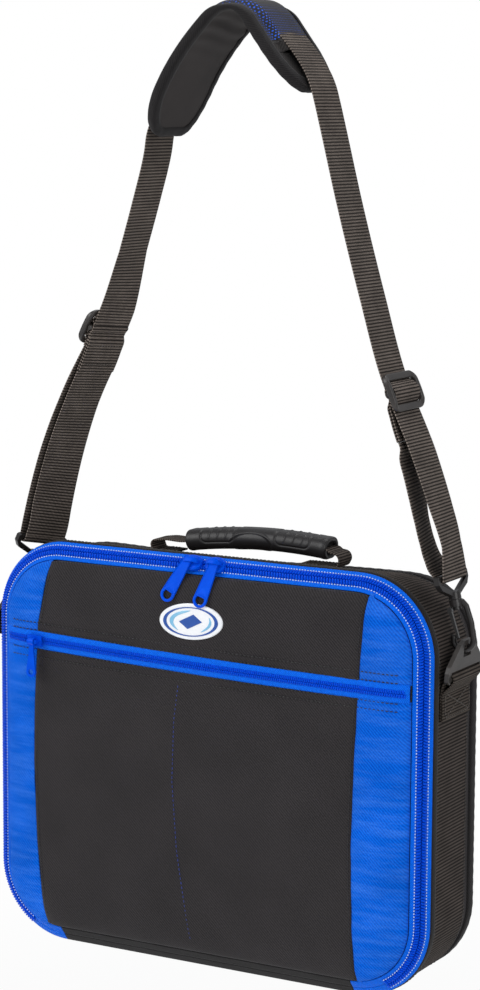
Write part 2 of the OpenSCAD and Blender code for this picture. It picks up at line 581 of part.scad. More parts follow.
// A loft over rows of points: b[i][k] is its inner face and t[i][k] its outer face
function cell(a, b, c, d) = [[a, b, c], [a, c, d]];
module loft(b, t, closed = false) {
  n = len(b);
  m = len(b[0]);
  last = closed ? n - 1 : n - 2;
  polyhedron(points = [for (i = [0:n - 1], k = [0:m - 1], p = [b[i][k], t[i][k]]) p],
    faces = concat(
      [for (i = [0:last], k = [0:m - 2], f = cell(2 * (i * m + k), 2 * (i * m + k + 1),
        2 * ((i + 1) % n * m + k + 1), 2 * ((i + 1) % n * m + k))) f],
      [for (i = [0:last], k = [0:m - 2], f = cell(2 * (i * m + k) + 1, 2 * ((i + 1) % n * m + k) + 1,
        2 * ((i + 1) % n * m + k + 1) + 1, 2 * (i * m + k + 1) + 1)) f],
      [for (i = [0:last], f = cell(2 * i * m, 2 * ((i + 1) % n) * m, 2 * ((i + 1) % n) * m + 1,
        2 * i * m + 1)) f],
      [for (i = [0:last], f = cell(2 * (i * m + m - 1), 2 * (i * m + m - 1) + 1,
        2 * ((i + 1) % n * m + m - 1) + 1, 2 * ((i + 1) % n * m + m - 1))) f],
      closed ? [] : [for (k = [0:m - 2], f = cell(2 * k, 2 * k + 1, 2 * k + 3, 2 * k + 2)) f],
      closed ? [] : [for (k = [0:m - 2], f = cell(2 * ((n - 1) * m + k), 2 * ((n - 1) * m + k + 1),
        2 * ((n - 1) * m + k + 1) + 1, 2 * ((n - 1) * m + k) + 1)) f]));
}
// A ribbon of webbing through stations of [place, width direction]
function station_out(st, i) = unit(cross(st[i][1], st[min(i + 1, len(st) - 1)][0] - st[max(i - 1, 0)][0]));
module webbing(st, width, t) loft(
  [for (i = [0:len(st) - 1]) [for (m = [-1, 1])
    st[i][0] - station_out(st, i) * t / 2 + m * width / 2 * st[i][1]]],
  [for (i = [0:len(st) - 1]) [for (m = [-1, 1])
    st[i][0] + station_out(st, i) * t / 2 + m * width / 2 * st[i][1]]]);

// Strap bars of the two eyes, and the strap's way round them: up along the strap, and outwards
eye_right = origin_right + turn_y([0, 0, strap_bar_q], -lean_right);
eye_left = origin_left + turn_y(turn_x([0, 0, strap_bar_q], -tip_left), lean_left);
wide_eye_left = turn_y(turn_x(wide(eye_twist), -tip_left), lean_left);
wrap_r = strap_bar_d / 2 + 0.4 + web_t / 2;
up_right = unit([-0.336, 0, 0.942]);
out_right = cross(wide(0), up_right);
out_left = unit(cross([0.27, 0.1, 0.96], wide_eye_left));
up_left = cross(wide_eye_left, out_left);
// Up the strap, outwards and across it at the adjusters
up_adj_left = turn_y([0, 0, 1], adj_lean_left);
wide_adj_left = turn_y(wide(adj_turn), adj_lean_left);
out_adj_left = cross(up_adj_left, wide_adj_left);
up_adj_right = turn_y([0, 0, 1], -adj_lean_right);
out_adj_right = cross(wide(0), up_adj_right);

// The pad's middle line: s runs along it from the top, down to the right; n stands off it
arch = [grip_x - 4, ring_z + 437];
mid_r = pad_arch_r + 3.5;
left_turn = 56;
right_turn = 53;
arc_l = mid_r * left_turn * PI / 180;
arc_r = mid_r * right_turn * PI / 180;
pad_s0 = -arc_l - pad_left_len;
pad_s1 = arc_r + pad_right_len;
function pad_place(s, y, r) = let (c = min(max(s, -arc_l), arc_r), a = 90 - c / mid_r * 180 / PI)
  [arch[0] + r * cos(a) + (s - c) * sin(a), y, arch[1] + r * sin(a) - (s - c) * cos(a)];
// Half its width: blunt ends, with rounded corners; e is an inset from the outline
tip_s = 30;
tip_y = 20;
function tip_point(a, e) = [(tip_s - e) * sin(a), tip_y + (pad_w / 2 - tip_y - e) * cos(a)];
function pad_rows(s0, s1, e) = concat(
  s0 > pad_s0 ? [] : [for (a = [90:-15:15]) [pad_s0 + tip_s - tip_point(a, e)[0], tip_point(a, e)[1]]],
  [for (s = concat([s0 > pad_s0 ? s0 : pad_s0 + tip_s], [for (i = [0:12]) -arc_l + i * (arc_l + arc_r) / 12],
    [s1 < pad_s1 ? s1 : pad_s1 - tip_s])) if (s >= s0 && s <= s1) [s, pad_w / 2 - e]],
  s1 < pad_s1 ? [] : [for (a = [15:15:90]) [pad_s1 - tip_s + tip_point(a, e)[0], tip_point(a, e)[1]]]);
module pad_sheet(s0, s1, e, r, t) loft(
  [for (q = pad_rows(s0, s1, e)) [for (m = [-1, 1]) pad_place(q[0], m * q[1], r)]],
  [for (q = pad_rows(s0, s1, e)) [for (m = [-1, 1]) pad_place(q[0], m * q[1], r + t)]]);
// A sheet that steps up over the webbing
module pad_bridge(s0, s1, e, r, t) loft(
  [for (q = pad_rows(s0, s1, e)) [for (m = [[-q[1], 0], [-23, 0], [-19.8, 1], [19.8, 1], [23, 0], [q[1], 0]])
    pad_place(q[0], m[0], r + m[1] * (web_t + 2.3))]],
  [for (q = pad_rows(s0, s1, e)) [for (m = [[-q[1], 0], [-23, 0], [-19.8, 1], [19.8, 1], [23, 0], [q[1], 0]])
    pad_place(q[0], m[0], r + t + m[1] * (web_t + 2.3))]]);

under_t = 1;
foam_r = pad_arch_r + under_t + seat;
cover_r = foam_r + pad_foam_t + seat;
strap_r = cover_r + cloth_t + 1.8;         // middle of the webbing where it lies on the pad
mouth_l = pad_s0 + 42;                     // where the webbing comes out from under the cover
mouth_r = pad_s1 - 30;
band_len = 9.5;
wall_e = 1.4;                              // the pad inside its binding
module pad_underside() color("#3a3837") hang() pad_sheet(pad_s0, pad_s1, wall_e, pad_arch_r, under_t);
module pad_foam() color("#4a4a4c") hang() pad_sheet(pad_s0, pad_s1, wall_e, foam_r, pad_foam_t);
module pad_cover() color("#24242c") hang()
  pad_bridge(mouth_l + band_len + seat, mouth_r - band_len - seat, wall_e, cover_r, cloth_t);
module pad_end_left() color("#2c2b2a") hang() {
  pad_sheet(pad_s0, mouth_l, wall_e, cover_r, cloth_t);
  pad_bridge(mouth_l, mouth_l + band_len, wall_e, cover_r, cloth_t);
}
module pad_end_right() color("#2c2b2a") hang() {
  pad_bridge(mouth_r - band_len, mouth_r, wall_e, cover_r, cloth_t);
  pad_sheet(mouth_r, pad_s1, wall_e, cover_r, cloth_t);
}
// The binding: a channel carried all round the pad's outline
edge_rows = [for (m = [1, -1]) let (n = len(pad_rows(pad_s0, pad_s1, 0)))
  for (i = [0:n - 1]) [m, m > 0 ? i : n - 1 - i]];
function edge_place(q, e, r) = let (p = pad_rows(pad_s0, pad_s1, e)[q[1]]) pad_place(p[0], q[0] * p[1], r);
bind_0 = pad_arch_r - seat;
bind_1 = cover_r + cloth_t + seat;
module pad_binding() color("#2a2928") hang() loft(
  [for (q = edge_rows) [edge_place(q, binding_w, bind_0), edge_place(q, wall_e - 0.15, bind_0),
                        edge_place(q, wall_e - 0.15, bind_1), edge_place(q, binding_w, bind_1)]],
  [for (q = edge_rows) [edge_place(q, binding_w, bind_0 - 0.8), edge_place(q, 0, bind_0 - 0.8),
                        edge_place(q, 0, bind_1 + 0.8), edge_place(q, binding_w, bind_1 + 0.8)]], true);

// Places along the strap, by their height over the rings' bars
function over_rings(x, y, z) = [x, y, ring_z + z];
function wrap(c, up, out, w, a0, a1) = [for (i = [0:6]) let (a = a0 + (a1 - a0) * i / 6)
  [c + wrap_r * (cos(a) * out + sin(a) * up), w]];
strap_path = concat(
  [[eye_right - wrap_r * out_right + 2 * up_right, wide(0)]],
  wrap(eye_right, up_right, out_right, wide(0), -180, 0),
  [for (q = [[175.8, 90], [164.6, 119], [153, 151], [127.8, 209], [112.8, 257], [92.8, 326], [79.8, 376],
             [75, 394]]) [over_rings(q[0], 0, q[1]), wide(0)]],
  [for (s = concat([pad_s1 + 1.5], [for (i = [12:-1:0]) -arc_l + i * (arc_l + arc_r) / 12], [pad_s0 - 1.5]))
    [pad_place(s, 0, strap_r), wide(0)]],
  [for (q = [[-62.5, 357], [-72.2, 322], [-83.7, 285]]) [over_rings(q[0], 0, q[1]), wide(0)]],
  [for (q = [-15.9, 52.2]) [adj_left - q * up_adj_left, wide_adj_left]],
  [[over_rings(-134.8, 0.6, 171), wide_adj_left],
   [over_rings(-150, 1.6, 134), unit(wide_adj_left + wide_eye_left)],
   [over_rings(-162, 2.4, 94), wide_eye_left]],
  wrap(eye_left, up_left, out_left, wide_eye_left, 0, -180),
  [[eye_left - wrap_r * out_left + 2 * up_left, wide_eye_left]]);
module strap_webbing() color("#3a3533") hang() webbing(strap_path, strap_w, web_t);

// Each side's inner layer runs from the adjuster's sewn loop down to the eye
return_q = tail_q + gap;
module strap_return_left() color("#3a3533") hang() webbing(concat(
  [for (q = [0, 8]) [adj_left - (return_q + q) * up_adj_left - bar_in * out_adj_left, wide_adj_left]],
  [[over_rings(-129.8, 0.6, 170), wide_adj_left],
   [over_rings(-144.6, 1.6, 133), unit(wide_adj_left + wide_eye_left)],
   [over_rings(-156.3, 2.4, 94), wide_eye_left]],
  [for (q = [8, 2 + seat]) [eye_left - wrap_r * out_left + q * up_left, wide_eye_left]]), strap_w, web_t);
module strap_return_right() color("#3a3533") hang() webbing(concat(
  [for (q = [0, 8]) [adj_right - (return_q + q) * up_adj_right - bar_in * out_adj_right, wide(0)]],
  [for (q = [[147.6, 139], [150.3, 119], [153.2, 103], [157.2, 89.5], [162.6, 80.5]])
    [over_rings(q[0], 0, q[1]), wide(0)]],
  [for (q = [8, 2 + seat]) [eye_right - wrap_r * out_right + q * up_right, wide(0)]]), strap_w, web_t);

// Everything hangs from the underside of the pad's arch
hang_point = [arch[0], 0, arch[1] + pad_arch_r];
module hang() translate(-hang_point) children();

pad_foam();
pad_cover();
pad_underside();
pad_binding();
pad_end_left();
pad_end_right();
strap_webbing();
strap_return_left();
strap_return_right();
hook_eye_left();
hook_eye_right();
adjuster_left();
adjuster_right();
sewn_loop_left();
sewn_loop_right();
snap_hook_left();
snap_hook_right();
hook_gate_left();
hook_gate_right();
gusset_shell();
gusset_foam();
gusset_lining();
gusset_band();
front_binding();
rear_binding();
back_panel();
back_foam();
back_lining();
zip_tape_case();
zip_chain_case();
hinge_cloth_case();
ring_loop_left();
ring_loop_right();
side_ring_left();
side_ring_right();
handle_tab_left();
handle_tab_right();
handle_webbing();
handle_grip();
lid_foam();
lid_lining();
upper_panel();
upper_side_left();
upper_side_right();
pocket_panel();
pocket_side_left();
pocket_side_right();
pocket_zip_tape();
pocket_zip_chain();
badge();
zip_tape_lid();
zip_chain_lid();
hinge_cloth_lid();
zip_slider_left();
zip_slider_right();
zip_puller_left();
zip_puller_right();
pocket_slider();
pocket_puller();
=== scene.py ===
import bmesh
import bpy
import numpy as np
from mathutils import Matrix, Vector


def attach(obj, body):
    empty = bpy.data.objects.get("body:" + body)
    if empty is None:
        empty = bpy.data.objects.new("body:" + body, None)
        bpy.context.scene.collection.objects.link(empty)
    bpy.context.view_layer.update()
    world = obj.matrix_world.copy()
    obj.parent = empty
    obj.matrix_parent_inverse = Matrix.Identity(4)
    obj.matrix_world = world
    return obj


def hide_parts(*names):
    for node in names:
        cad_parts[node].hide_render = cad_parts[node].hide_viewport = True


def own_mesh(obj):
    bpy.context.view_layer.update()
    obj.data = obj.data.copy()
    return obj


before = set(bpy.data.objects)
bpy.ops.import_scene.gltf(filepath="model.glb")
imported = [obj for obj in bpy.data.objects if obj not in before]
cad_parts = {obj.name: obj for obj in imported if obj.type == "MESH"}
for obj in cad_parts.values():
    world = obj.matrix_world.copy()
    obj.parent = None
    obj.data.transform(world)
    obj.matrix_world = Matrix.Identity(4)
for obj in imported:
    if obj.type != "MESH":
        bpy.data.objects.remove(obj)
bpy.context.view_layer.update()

# ---- Camera ----
# A long lens stands to the right of the case and a little above its middle, leaning by a third of
# a degree. Pieces are drawn in millimetres with their zero at the middle of the case.
HANG = np.array([15.0, 0.0, 534.2])


def placed(points):
    """Drawn millimetres to the frame's metres: less the hanging point, times a thousandth."""
    return (np.asarray(points, float) - HANG) / 1000.0


def look_from(azimuth, elevation, distance, target, roll):
    """The camera's matrix. It stands at the target plus the distance along the view's direction."""
    az, el, turn = np.radians([azimuth, elevation, roll])
    back = np.array([np.sin(az) * np.cos(el), -np.cos(az) * np.cos(el), np.sin(el)])
    right = np.cross(-back, [0, 0, 1])
    right /= np.linalg.norm(right)
    up = np.cross(back, right)
    level = np.stack([right * np.cos(turn) + up * np.sin(turn),
                      up * np.cos(turn) - right * np.sin(turn), back], 1)
    matrix = np.eye(4)
    matrix[:3, :3] = level
    matrix[:3, 3] = placed(np.array(target) + distance * back)
    return Matrix(matrix.tolist())


lens = bpy.data.cameras.new("camera")
lens.lens = 97.9
lens.sensor_width = 36.0
camera = bpy.data.objects.new("camera", lens)
camera.matrix_world = look_from(azimuth=29.5, elevation=8.5, distance=1946.0, target=(7.0, 0.0, 193.0),
                                roll=0.3)
bpy.context.scene.collection.objects.link(camera)
bpy.context.scene.camera = camera
bpy.context.scene.view_settings.view_transform = "Standard"


# ---- Floor and light ----
# A plain white floor lies well below the hanging case, under three broad soft lamps and a pale
# surrounding light. The world shows white to the camera.
def colour(code):
    """An sRGB hex value as linear light, with a full alpha."""
    c = np.array([int(code[i:i + 2], 16) for i in (1, 3, 5)]) / 255.0
    linear = np.where(c <= 0.04045, c / 12.92, ((c + 0.055) / 1.055) ** 2.4)
    return (*linear.tolist(), 1.0)


def add_node(tree, kind, inputs=None, **settings):
    """Adds a node with its settings. An input takes a value or another node's output."""
    node = tree.nodes.new(kind)
    for key, value in settings.items():
        setattr(node, key, value)
    for key, value in (inputs or {}).items():
        if isinstance(value, bpy.types.NodeSocket):
            tree.links.new(value, node.inputs[key])
        else:
            node.inputs[key].default_value = value
    return node


def lamp(name, place, target, size, watts):
    """A square lamp of a size in metres, its face turned to the target."""
    light = bpy.data.lights.new(name, "AREA")
    light.shape, light.size, light.energy = "SQUARE", size, watts
    holder = bpy.data.objects.new(name, light)
    at, to = Vector(placed(place)), Vector(placed(target))
    holder.matrix_world = Matrix.Translation(at) @ (at - to).to_track_quat("Z", "Y").to_matrix().to_4x4()
    bpy.context.scene.collection.objects.link(holder)


lamp("lamp_left", (-1500, -1700, 1500), (0, 0, 150), 1.6, 34)
lamp("lamp_right", (1900, -1300, 900), (60, 0, 150), 1.4, 17)
lamp("lamp_top", (200, 500, 2100), (0, 0, 200), 1.5, 19)

world = bpy.data.worlds.new("surrounding")
bpy.context.scene.world = world
world.use_nodes = True
tree = world.node_tree
tree.nodes.clear()
path = add_node(tree, "ShaderNodeLightPath")
seen = add_node(tree, "ShaderNodeMath", {0: path.outputs["Is Camera Ray"],
                                         1: path.outputs["Is Transmission Ray"]}, operation="MAXIMUM")
dim = add_node(tree, "ShaderNodeBackground", {"Color": colour("#f4f6fa"), "Strength": 0.47})
white = add_node(tree, "ShaderNodeBackground", {"Color": (1, 1, 1, 1), "Strength": 1.0})
both = add_node(tree, "ShaderNodeMixShader", {0: seen.outputs[0], 1: dim.outputs[0], 2: white.outputs[0]})
add_node(tree, "ShaderNodeOutputWorld", {"Surface": both.outputs[0]})


def finish_of(name, **values):
    """A new material with its principled shader; every value goes on the shader's own socket."""
    made = bpy.data.materials.new(name)
    made.use_nodes = True
    made.node_tree.nodes.clear()
    shader = add_node(made.node_tree, "ShaderNodeBsdfPrincipled",
                      {key.replace("_", " "): value for key, value in values.items()})
    add_node(made.node_tree, "ShaderNodeOutputMaterial", {"Surface": shader.outputs[0]})
    return made, made.node_tree, shader


floor_paint, tree, shader = finish_of("matt white floor paint", Base_Color=colour("#f6f6f5"), Roughness=0.9)
# the camera sees most of the floor's white as it is, and the rest carries the light and shadow
path = add_node(tree, "ShaderNodeLightPath")
away = add_node(tree, "ShaderNodeVectorMath", {0: add_node(tree, "ShaderNodeTexCoord").outputs["Object"]},
                operation="LENGTH")
plain = add_node(tree, "ShaderNodeMapRange", {"Value": away.outputs["Value"], "From Min": 0.9,
                                              "From Max": 2.2, "To Min": 0.72, "To Max": 1.0},
                 interpolation_type="SMOOTHSTEP")
share = add_node(tree, "ShaderNodeMath", {0: path.outputs["Is Camera Ray"], 1: plain.outputs[0]},
                 operation="MULTIPLY")
glow = add_node(tree, "ShaderNodeEmission", {"Color": (1, 1, 1, 1), "Strength": 1.0})
both = add_node(tree, "ShaderNodeMixShader", {0: share.outputs[0], 1: shader.outputs[0], 2: glow.outputs[0]})
tree.links.new(both.outputs[0], tree.nodes["Material Output"].inputs["Surface"])
floor_z = placed([0, 0, -560])[2]
corners = [(-30, -30, floor_z), (30, -30, floor_z), (30, 30, floor_z), (-30, 30, floor_z)]
floor_mesh = bpy.data.meshes.new("floor")
floor_mesh.from_pydata(corners, [], [(0, 1, 2, 3)])
floor_mesh.materials.append(floor_paint)
floor = bpy.data.objects.new("floor", floor_mesh)
bpy.context.scene.collection.objects.link(floor)


# ---- Gusset: the case's padded side wall ----
# Black woven polyester is wrapped round the sides, top and bottom, with a ribbed webbing band
# sewn over it. Its edges are bound at the front and the back.
def rounded_line(hw, top, bottom, r, count, start=0.0, stop=1.0):
    """Evenly spaced points of a rounded rectangle, by the share of its length from the middle of
    the bottom, to the right and round: each has x, z, its outward direction and its length."""
    x, z, angle = [0.0], [bottom], [-90.0]
    middles = [(hw - r, bottom + r), (hw - r, top - r), (r - hw, top - r), (r - hw, bottom + r)]
    for k, (cx, cz) in enumerate(middles):
        a = np.linspace(-90 + 90 * k, 90 * k, 25)
        x += list(cx + r * np.cos(np.radians(a)))
        z += list(cz + r * np.sin(np.radians(a)))
        angle += list(a)
    x, z, angle = np.array(x + [0.0]), np.array(z + [bottom]), np.array(angle + [270.0])
    s = np.concatenate([[0], np.cumsum(np.hypot(np.diff(x), np.diff(z)))])
    along = np.linspace(start, stop, count) * s[-1]
    a = np.radians(np.interp(along, s, angle))
    return np.interp(along, s, x), np.interp(along, s, z), np.cos(a), np.sin(a), along


# Outlines: half the width, the top, the bottom and the corners' radius
RIM = (180, 152.5, -152.5, 58)
GUSSET = (177, 144.5, -149.5, 55)


def rim_line(count, start=0.0, stop=1.0):
    """Points of the rim, where the side wall's front edge meets the zip."""
    return rounded_line(*RIM, count, start, stop)


def gusset_line(count, start=0.0, stop=1.0):
    """Points of the side wall's cloth, 3 mm and more inside the rim."""
    return rounded_line(*GUSSET, count, start, stop)


def settled(points):
    """The top wall sinks towards the back by 4 to 8 mm, most near its middle, as soft walls do."""
    x, y, z = points[..., 0], points[..., 1], points[..., 2]
    back, high = np.clip(y / 42.0, 0, 1), np.clip((z - 60) / 80.0, 0, 1)
    near = np.clip((172 - np.abs(x)) / 50.0, 0, 1)
    fall = (4.4 + 3.4 * np.exp(-((x + 20) / 75.0) ** 2)) * near * near * (3 - 2 * near)
    drop = fall * back * back * (3 - 2 * back) * high * high * (3 - 2 * high)
    return points - drop[..., None] * np.array([0.0, 0.0, 1.0])


def carried(line, offset, front):
    """A profile carried round a line: offset stands off it and front is the way to the front.
    Both may change along the line, so each is a grid or a row."""
    x, z, nx, nz, _ = (np.asarray(a)[:, None] for a in line)
    offset, front = np.broadcast_arrays(np.atleast_2d(offset), np.atleast_2d(front))
    offset = np.broadcast_to(offset, (x.shape[0], offset.shape[1]))
    front = np.broadcast_to(front, offset.shape)
    return settled(np.stack([x + nx * offset, -front, z + nz * offset], -1))


def mesh_piece(name, points, faces, uv, finish, centre=None):
    """A mesh from drawing millimetres. Where a centre is given, faces turn away from it."""
    mesh = bpy.data.meshes.new(name)
    mesh.from_pydata(placed(points).tolist(), [], [list(map(int, f)) for f in faces])
    if uv is not None:
        layer = mesh.uv_layers.new(name="UVMap")
        layer.data.foreach_set("uv", np.asarray(uv, np.float32).ravel())
    if centre is not None:
        mesh.update()
        normals = np.zeros(len(mesh.polygons) * 3)
        centres = np.zeros(len(mesh.polygons) * 3)
        mesh.polygons.foreach_get("normal", normals)
        mesh.polygons.foreach_get("center", centres)
        away = centres.reshape(-1, 3) - placed(centre)
        if (normals.reshape(-1, 3) * away).sum() < 0:
            mesh.flip_normals()
    mesh.polygons.foreach_set("use_smooth", [True] * len(mesh.polygons))
    mesh.materials.append(finish)
    piece = bpy.data.objects.new(name, mesh)
    bpy.context.scene.collection.objects.link(piece)
    return piece


def grid(along, across):
    """Millimetres along and across a cloth, at every crossing of the two rows."""
    return np.stack(np.meshgrid(along, across, indexing="ij"), -1)


def surface(name, points, uv, finish, centre=None, closed_u=False, closed_v=False, caps=False):
    """A sheet of quads over a grid of points. uv holds millimetres along and across the cloth,
    with one more row or column than the points where that way is closed."""
    n, m = points.shape[:2]
    i, j = grid(np.arange(n if closed_u else n - 1), np.arange(m if closed_v else m - 1)).reshape(-1, 2).T
    corners = [(i, j), (i + 1, j), (i + 1, j + 1), (i, j + 1)]
    faces = np.stack([(a % n) * m + b % m for a, b in corners], -1)
    shares = np.stack([uv[a, b] for a, b in corners], 1)
    faces, shares = faces.tolist(), shares.reshape(-1, 2)
    if caps:
        faces += [list(range(m))[::-1], [(n - 1) * m + k for k in range(m)]]
        shares = np.concatenate([shares, uv[0, :m][::-1], uv[n - 1, :m]])
    return mesh_piece(name, points.reshape(-1, 3), faces, shares, finish, centre)


def wall(piece, thickness):
    """Gives a sheet its thickness in millimetres, inwards from its face."""
    solid = piece.modifiers.new("wall", "SOLIDIFY")
    solid.thickness, solid.offset = thickness / 1000.0, -1.0
    return piece


def fit(piece, body, slot, *nodes):
    """The piece rides on its body and stands for these nodes, which are hidden. The slot is not used."""
    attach(piece, body)
    if nodes:
        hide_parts(*nodes)
    return piece


def dressed(tree, shader, share, dark, light, height=None, strength=0.0, distance=0.0, cloud=None):
    """Colours a finish from dark to light by a share. A height gives it relief over a distance in
    metres, and a cloud of (noise, low, high) makes it darker and lighter in patches."""
    tone = add_node(tree, "ShaderNodeMix", {0: share, 6: dark, 7: light}, data_type="RGBA").outputs[2]
    if cloud is not None:
        noise, low, high = cloud
        shade = add_node(tree, "ShaderNodeMapRange", {"Value": noise.outputs["Fac"], "From Min": 0.3,
                                                      "From Max": 0.7, "To Min": low, "To Max": high})
        tone = add_node(tree, "ShaderNodeVectorMath", {0: tone, "Scale": shade.outputs[0]},
                        operation="SCALE").outputs[0]
    tree.links.new(tone, shader.inputs["Base Color"])
    if height is not None:
        relief = add_node(tree, "ShaderNodeBump", {"Height": height, "Strength": strength,
                                                   "Distance": distance})
        tree.links.new(relief.outputs[0], shader.inputs["Normal"])


WAVE = 0.314     # a wave texture's period at scale 1


def woven(name, dark, light, thread, sheen, moire=0.0, second=None):
    """Cloth: a twill of two tones at the thread's spacing in millimetres, uneven by a soft noise.
    The bump is the threads' own relief only, as the folds are in the mesh."""
    made, tree, shader = finish_of(name, Roughness=0.82, Sheen_Weight=sheen, Sheen_Roughness=0.5,
                                   Sheen_Tint=colour(second or "#ffffff"), Specular_IOR_Level=0.25,
                                   Specular_Tint=colour(second or "#ffffff"))
    at = add_node(tree, "ShaderNodeTexCoord").outputs["UV"]
    # twill lines run at 45 degrees
    twill = add_node(tree, "ShaderNodeTexWave", {"Vector": at, "Scale": WAVE / thread, "Distortion": 1.2,
                                                 "Detail": 1.0, "Detail Scale": 2.0},
                     bands_direction="DIAGONAL")
    fine = add_node(tree, "ShaderNodeTexNoise", {"Vector": at, "Scale": 0.9 / thread, "Detail": 2.0})
    broad = add_node(tree, "ShaderNodeTexNoise", {"Vector": at, "Scale": 0.02, "Detail": 3.0})
    weave = add_node(tree, "ShaderNodeMix", {0: 0.55, 2: twill.outputs["Fac"], 3: fine.outputs["Fac"]},
                     data_type="FLOAT")
    tone = add_node(tree, "ShaderNodeValToRGB", {"Fac": weave.outputs[0]})
    tone.color_ramp.elements[0].color, tone.color_ramp.elements[1].color = colour(dark), colour(light)
    tone.color_ramp.elements[0].position, tone.color_ramp.elements[1].position = 0.25, 0.8
    base = other = tone.outputs["Color"]
    share = 0.0
    if second:
        # shot cloth: the light thread shows in long streaks across the weave
        drawn = add_node(tree, "ShaderNodeMapping", {"Vector": at, "Rotation": (0, 0, 0.16),
                                                     "Scale": (0.02, 0.16, 1.0)})
        streak = add_node(tree, "ShaderNodeTexNoise", {"Vector": drawn.outputs[0], "Scale": 1.0,
                                                       "Detail": 4.0, "Roughness": 0.65})
        shot = add_node(tree, "ShaderNodeMapRange", {"Value": streak.outputs["Fac"], "From Min": 0.42,
                                                     "From Max": 0.72, "To Max": moire})
        share = add_node(tree, "ShaderNodeMath", {0: shot.outputs[0], 1: fine.outputs["Fac"]},
                         operation="MULTIPLY").outputs[0]
        other = colour(second)
    dressed(tree, shader, share, base, other, weave.outputs[0], 0.5, 0.0004, (broad, 0.84, 1.12))
    return made


CASE_CENTRE = (0.0, 0.0, 0.0)
black_cloth = woven("black polyester pack cloth", "#1b191a", "#363234", 1.2, 0.06)

line = gusset_line(720)
front = np.linspace(-41.0, 31.6, 26)
sag = 0.35 * np.sin(line[4][:, None] / 31.0) * np.sin(front[None, :] / 9.0) - 0.1
shell = surface("gusset_cloth", carried(line, sag, front), grid(line[4], front), black_cloth, CASE_CENTRE)
fit(wall(shell, 1.2), "case", "black_cloth", "gusset_shell")


def ribbed(name, groove_shade, rib, light, pitch):
    """Nylon webbing: ribs across its length at the pitch in millimetres. The grooves' dark colour is painted
    shade, and the light colour on the crests is a painted highlight, where the crests are broken into the
    warp threads that pass over them."""
    made, tree, shader = finish_of(name, Roughness=0.8, Specular_IOR_Level=0.12)
    at = add_node(tree, "ShaderNodeTexCoord").outputs["UV"]
    # u runs along the webbing, so its bands are the ribs; v runs across it and gives the warp
    ribs = add_node(tree, "ShaderNodeTexWave", {"Vector": at, "Scale": WAVE / pitch, "Distortion": 0.25,
                                                "Detail": 0.0}, bands_direction="X")
    warp = add_node(tree, "ShaderNodeTexWave", {"Vector": at, "Scale": WAVE / 1.3, "Distortion": 0.6,
                                                "Detail": 0.0}, bands_direction="Y")
    broad = add_node(tree, "ShaderNodeTexNoise", {"Vector": at, "Scale": 0.05, "Detail": 2.0})
    crest_and_highlight = add_node(tree, "ShaderNodeMath", {0: ribs.outputs["Fac"], 1: warp.outputs["Fac"]},
                     operation="MULTIPLY")
    # the tone runs from the grooves' painted shade up to the ribs' colour
    tone = add_node(tree, "ShaderNodeMix", {0: ribs.outputs["Fac"], 6: colour(groove_shade), 7: colour(rib)},
                    data_type="RGBA")
    # the light colour laid over the crests is a painted highlight; the crests also give the relief
    dressed(tree, shader, crest_and_highlight.outputs[0], tone.outputs[2], colour(light), crest_and_highlight.outputs[0], 0.6, 0.0004,
            (broad, 0.8, 1.15))
    return made


# The band's ribs run from front to back, one to every 2.4 mm of its length
RIB = 2.4
# the first colour is the grooves' painted shade and the last the crests' painted highlight
ribbed_band = ribbed("ribbed nylon webbing of the gusset", "#0e0c0c", "#292523", "#6a605a", RIB)
line = gusset_line(int(round(gusset_line(2)[4][-1] / RIB)) * 5 + 1)
across = np.concatenate([[-26.2, -26.1], np.linspace(-25, 22.6, 12), [23.5, 23.6]])
rise = np.concatenate([[0.2, 1.3], np.full(12, 1.5), [1.3, 0.2]])
edge = np.clip((24.0 - across) / 3.0, 0, 1) * np.clip((across + 26.5) / 3.0, 0, 1)
beat = 0.12 * np.cos(line[4][:, None] * 2 * np.pi / RIB) * edge[None, :]
band = surface("gusset_webbing", carried(line, rise[None, :] + beat, across)[:-1], grid(line[4], across),
               ribbed_band, CASE_CENTRE, closed_u=True)
fit(band, "case", "webbing", "gusset_band")


# Binding tape: a fine diagonal twill in near black, with a soft lustre
binding_tape = woven("black binding tape", "#0f0e0f", "#242122", 1.1, 0.06)


def depth_in(x, z, hw, top, bottom, r):
    """Distance outside a rounded rectangle, negative inside: that of its corner-centre box, less r."""
    qx = np.abs(x) - (hw - r)
    qz = np.abs(z - (top + bottom) / 2) - ((top - bottom) / 2 - r)
    return np.hypot(np.maximum(qx, 0), np.maximum(qz, 0)) + np.minimum(np.maximum(qx, qz), 0) - r


# The front binding is folded round the wall's edge and stands out to the zip's rim
line = rim_line(901)
inner = -depth_in(line[0], line[1], *GUSSET)[:, None] + 0.1
# each point of the fold: its share of the way in to the cloth, and its place to the front
shape = np.array([[1.0, 24.6], [1.0, 24.0], [0.55, 24.05], [0.12, 24.8], [0.0, 26.4], [0.0, 28.6],
                  [0.03, 30.4], [0.15, 31.5], [0.5, 31.95], [1.0, 31.95]])
ripple = 0.12 * np.sin(line[4][:, None] * 2 * np.pi / 7.0 + shape[None, :, 1]) * (shape[:, 0] < 0.5)
offset = inner * shape[None, :, 0] + ripple
piece = surface("front_binding_tape", carried(line, offset, shape[:, 1])[:-1],
                grid(line[4], np.arange(10) * 1.6), binding_tape, CASE_CENTRE, closed_u=True)
fit(piece, "case", "binding", "front_binding")

